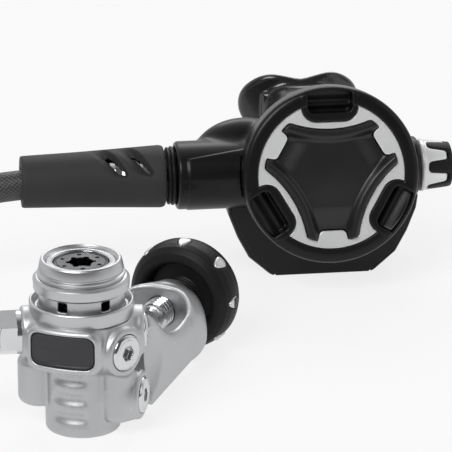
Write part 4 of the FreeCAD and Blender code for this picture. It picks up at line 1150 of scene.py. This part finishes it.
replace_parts(solid("housingWaist", waistField, (-15.6, -15.6, 34.6), (15.6, 15.6, 51.2), housing["step"],
                  bodyFrame, "housingMetal", "regulator_body"), "spring_housing")
turnedPiece("housingRings", housing["rings"], bodyFrame, "turnedMetal", "regulator_body",
            160, 0.3)
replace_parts(turnedPiece("collarBand", housing["collar"], bodyFrame, "turnedMetal", "regulator_body",
                        160, 0.35), "collar_ring")
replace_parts(turnedPiece("lockBand", housing["lock"], bodyFrame, "chromeMetal", "regulator_body",
                        128, 0.2), "lock_ring")


# Adjusting screw: dark disc with a star socket and a ring of small pin holes
adjuster = {
    "profile": [(-5, 52.2), (11.2, 52.2), (11.2, 57.6), (9.55, 57.6), (9.55, 59.6), (9.1, 60.1), (-5, 60.1)],
    "socket": 8.0,
    "lobeReach": 4.3,
    "lobeRadius": 0.9,
    "socketFloor": 54.6,
    "pinReach": 6.9,
    "pinRadius": 0.75,
    "step": 0.22,
}


def screwField(p):
    disc = outline(p.spread(), p.z, adjuster["profile"])
    q = repeat(p, 6)
    lobe = np.hypot(q.x - adjuster["lobeReach"], q.y) - adjuster["lobeRadius"]
    socket = join(hexDistance(p, adjuster["socket"]), lobe, 0.4)
    disc = carve(disc, np.maximum(socket, adjuster["socketFloor"] - p.z), 0.25)
    q = repeat(p, 6, math.pi / 6)
    pins = np.hypot(q.x - adjuster["pinReach"], q.y) - adjuster["pinRadius"]
    disc = carve(disc, np.maximum(pins, 59.2 - p.z), 0.2)
    groove = np.maximum(np.abs(p.spread() - 8.6) - 0.25, 59.7 - p.z)
    return carve(disc, groove, 0.1)


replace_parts(solid("adjustDisc", screwField, (-11.6, -11.6, 52), (11.6, 11.6, 60.6), adjuster["step"],
                  bodyFrame, "darkMetal", "adjuster"), "adjusting_screw")


def arcThrough(a, b, c, count=8):
    # points of the circle through three points, from the first to the last
    ax, ay, bx, by, cx, cy = *a, *b, *c
    d = 2 * (ax * (by - cy) + bx * (cy - ay) + cx * (ay - by))
    sa, sb, sc = ax * ax + ay * ay, bx * bx + by * by, cx * cx + cy * cy
    ux = (sa * (by - cy) + sb * (cy - ay) + sc * (ay - by)) / d
    uy = (sa * (cx - bx) + sb * (ax - cx) + sc * (bx - ax)) / d
    radius = math.hypot(ax - ux, ay - uy)
    first, last = math.atan2(ay - uy, ax - ux), math.atan2(cy - uy, cx - ux)
    turn = (last - first + math.pi) % (2 * math.pi) - math.pi
    angles = [first + turn * k / count for k in range(count + 1)]
    return [(ux + radius * math.cos(angle), uy + radius * math.sin(angle)) for angle in angles]


# Yoke: a rounded closed loop that tapers to the wheel, scooped on top, with a window for the valve
loop = {
    "plan": mirrored([(17.5, 18.5)] + arcThrough((50, 18.5), (65.6, 16.3), (71, 10.0)), (1, -1)),
    "side": [(12, -18.8), (12, 17.0), (34, 14.6), (52, 11.4), (70, 8.6), (88, 5.8), (88, -6.5), (70, -9.6),
             (48, -13.4)],
    "window": mirrored([(22.5, 14.5)] + arcThrough((50, 14.5), (58.6, 10.8), (61.5, 3.5)), (1, -1)),
    "crownRadius": 20.0,
    "crownSlope": 16.5,
    "dipAt": (42, 20),
    "dipRadius": 17.0,
    "round": 3.2,
    "boss": 9.0,
    "bossEnd": 71.5,
    "neckHole": 9.6,
    "screwHole": 5.6,
    "heel": 17.2,
    "step": 0.42,
}


def yokeField(p):
    slope = math.radians(loop["crownSlope"])
    sunk = (p.z - 3) * math.cos(slope) + (p.x - 18) * math.sin(slope)
    crown = np.where(sunk > 0, np.hypot(p.y, sunk), np.abs(p.y)) - loop["crownRadius"]
    dipX, dipZ = loop["dipAt"]
    dip = np.hypot(p.x - dipX, p.z - dipZ) - loop["dipRadius"]
    side = carve(both(outline(p.x, p.z, loop["side"]), crown, 2.0), dip, 5.0)
    whole = rolled(outline(p.x, p.y, loop["plan"]), side, loop["round"])
    flute = egg(Points(p.x - 15, np.abs(p.y) - 21.6, p.z - 1), 13.0, 6.6, 16.5)
    whole = carve(whole, flute, 0.6)
    q = p.lying()
    whole = join(whole, drum(q, loop["boss"], 66, loop["bossEnd"], 1.0), 1.5)
    whole = carve(whole, outline(p.x, p.y, loop["window"]), 1.7)
    whole = carve(whole, drum(q, loop["neckHole"], 10, 24, 0.1), 0.3)
    whole = carve(whole, drum(q, loop["screwHole"], 50, 80, 0.1), 0.5)
    return carve(whole, np.hypot(p.x, p.y) - loop["heel"], 0.2)


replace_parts(solid("yokeLoop", yokeField, (16, -19.4, -18.8), (72.2, 19.4, 17.6), loop["step"], yokeFrame,
                  "satinMetal", "regulator_body"), "yoke")


# Yoke screw: a real helical thread, then a plain shank into the wheel
thread = {
    "start": 54.7,
    "end": 74.0,
    "radius": 5.48,
    "depth": 0.75,
    "pitch": 1.8,
    "shankRadius": 4.8,
    "shankEnd": 85.8,
    "around": 72,
    "steps": 200,
}


def yokeScrewPiece():
    start, end, around = thread["start"], thread["end"], thread["around"]
    angles = np.linspace(0, 2 * math.pi, around, endpoint=False)
    alongs = np.append(np.linspace(start, end, thread["steps"]), (end, thread["shankEnd"]))
    grid, turn = np.meshgrid(alongs, angles, indexing="ij")
    phase = (grid / thread["pitch"] - turn / (2 * math.pi)) % 1.0
    ridge = np.clip((0.5 - np.abs(phase - 0.5)) * 3.2 - 0.2, 0, 1)
    chamfer = np.minimum(1.0, np.minimum(grid - start + 0.1, end - grid + 0.1))
    radius = thread["radius"] - thread["depth"] * (1 - ridge) - 0.9 * (1 - chamfer)
    radius = np.minimum(radius, thread["radius"] - 0.02)
    radius[-2:] = thread["shankRadius"]
    verts = np.stack([grid, radius * np.cos(turn), radius * np.sin(turn)], -1).reshape(-1, 3)
    return pieceFrom("clampScrew", verts, ringFaces(len(alongs), around), yokeFrame, "chromeMetal",
                     "handwheel")


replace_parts(yokeScrewPiece(), "yoke_screw")


# Handwheel: ribbed hub, smooth rubber tyre, metal studs through its rim
tyre = {
    "section": [(79, 12.5), (76.6, 12.8), (75, 13.5), (74.1, 14.4), (73.9, 15.4), (74.5, 17.5), (76.2, 19.3),
                (78.7, 20.2), (81.5, 20.5), (84.3, 20.2), (86.8, 19.3), (88.7, 17.6), (89.3, 15.6),
                (89, 14.2), (88.1, 13.2), (86.2, 12.7), (84, 12.5)],
    "hub": [(4.85, 75.6), (6.6, 75.6), (7.0, 76.0), (7.0, 76.6), (6.7, 76.8), (6.7, 77.1), (7.1, 77.3),
            (7.1, 77.9), (6.8, 78.1), (6.8, 78.4), (7.3, 78.7), (7.4, 79.0), (12.4, 79.0), (12.4, 84.0),
            (8.2, 84.0), (8.2, 86.0), (4.85, 86.0)],
    "low": (73.4, -20.8, -20.8),
    "high": (89.6, 20.8, 20.8),
    "studs": 8,
    "studAngle": 0.5,
    "studAlong": 81.5,
    "studRadius": 2.2,
    "tail": 4.0,
    "step": 0.4,
    "studStep": 0.3,
}


def studPoints(p):
    # one stud's frame: Z straight out from the wheel's axis, X along the axis
    q = repeat(p.lying(), tyre["studs"], math.radians(tyre["studAngle"]) + math.pi)
    return Points(q.z - tyre["studAlong"], q.y, q.x)


def tearShape(stud):
    # outline of a stud seen from outside: a round head and a tapering tail
    tail = np.clip(-stud.x / tyre["tail"], 0, 1)
    away = np.hypot(stud.x + tail * tyre["tail"], stud.y)
    return (away - tyre["studRadius"] * (1 - tail ** 1.4) ** 0.5) * 0.8


def tyreField(p):
    q = p.lying()
    stud = studPoints(p)
    hole = np.maximum(tearShape(stud) - 0.06, 13.5 - stud.z)
    return carve(outline(q.z, q.spread(), tyre["section"]), hole, 0.9)


def studField(p):
    # round head at the crown of the tyre, drawn out to a point down its near shoulder
    stud = studPoints(p)
    skin = np.hypot(stud.x / 1.35, stud.z - 14.6) - 6.2
    return both(both(tearShape(stud), 14.0 - stud.z, 0.1), skin, 0.5)


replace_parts(solid("gripTyre", tyreField, tyre["low"], tyre["high"], tyre["step"], yokeFrame, "gripRubber",
                  "handwheel"), "handwheel_grip")
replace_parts(solid("gripStuds", studField, tyre["low"], tyre["high"], tyre["studStep"], yokeFrame, "studMetal",
                  "handwheel"), "grip_inserts")
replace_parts(turnedPiece("wheelHub", tyre["hub"], yokeFrame @ xForward, "mattMoulding", "handwheel",
                        96, 0.12), "handwheel_hub")


hosePiece, hoseLine = makeHose()
print("hose laid")


# Floor, backdrop and light
light = {
    "world": 0.32,
    "front": 0.12,
    "turnover": (-0.35, 0.45),
    "floorReach": 6.0,
    "floorWhite": 0.8,
    "floorMirrored": 0.62,
    "target": (0, 0, 0.04),
    "lamps": {
        "key": ((-0.7, -0.9, 1.1), 0.8, 0.8, 14.0),
        "fill": ((1.1, -0.7, 0.6), 0.9, 0.9, 2.2),
        "rim": ((0.2, 1.1, 1.0), 1.2, 0.6, 7.0),
    },
}
white, dull = (1, 1, 1), (0.8, 0.8, 0.8)


def makeLamps():
    for name, (place, width, height, power) in light["lamps"].items():
        data = bpy.data.lights.new(name, "AREA")
        data.shape, data.size, data.size_y, data.energy = "RECTANGLE", width, height, power
        aim(added(name, data), place, Vector(light["target"]) - Vector(place))


def makeFloor():
    # matt paper that the camera sees as white, and mirrors a little dimmer
    mesh = bpy.data.meshes.new("floor")
    reach = light["floorReach"]
    mesh.from_pydata([(-reach, -reach, 0), (reach, -reach, 0), (reach, reach, 0), (-reach, reach, 0)], [],
                     [(0, 1, 2, 3)])
    added("floor", mesh)
    paper = Finish("floorPaper", colour=(0.86, 0.86, 0.86), roughness=0.9, specular=0.1)
    ray = paper.node("ShaderNodeLightPath")
    glow = paper.node("ShaderNodeEmission", {}, Color=white, Strength=1.0)[0]
    shown = (ray[0] * light["floorWhite"]).most(ray[3].most(ray[6]) * light["floorMirrored"])
    matt = Value(paper, paper.shader.outputs[0])
    seen = paper.node("ShaderNodeMixShader", {}, shown, matt, glow)[0]
    paper.connect(paper.tree.nodes["Material Output"].inputs[0], seen)
    mesh.materials.append(paper.material)


def makeSky():
    scene.world = bpy.data.worlds.new("studio")
    scene.world.use_nodes = True
    sky = Nodes(scene.world.node_tree)
    sky.tree.nodes.remove(sky.tree.nodes["Background"])
    ray = sky.node("ShaderNodeLightPath")
    ground = sky.node("ShaderNodeBackground", {}, white, light["world"])[0]
    backdrop = sky.node("ShaderNodeBackground", {}, white, 1.0)[0]
    # mirrors see the white sweep behind the object and a dimmer studio in front of it
    depth = sky.node("ShaderNodeSeparateXYZ", {}, sky.node("ShaderNodeTexCoord")[0])[1]
    dimmer = sky.node("ShaderNodeMapRange", {"interpolation_type": "SMOOTHSTEP"}, depth, *light["turnover"],
                      light["front"], 1.0)[0]
    studio = sky.node("ShaderNodeBackground", {}, dull, dimmer)[0]
    seen = sky.node("ShaderNodeMixShader", {}, ray[3], ground, studio)[0]
    seen = sky.node("ShaderNodeMixShader", {}, ray[0].most(ray[6]), seen, backdrop)[0]
    sky.connect(sky.tree.nodes["World Output"].inputs[0], seen)


makeFloor()
makeSky()
makeLamps()
scene.view_settings.view_transform = "Standard"
print("studio made")
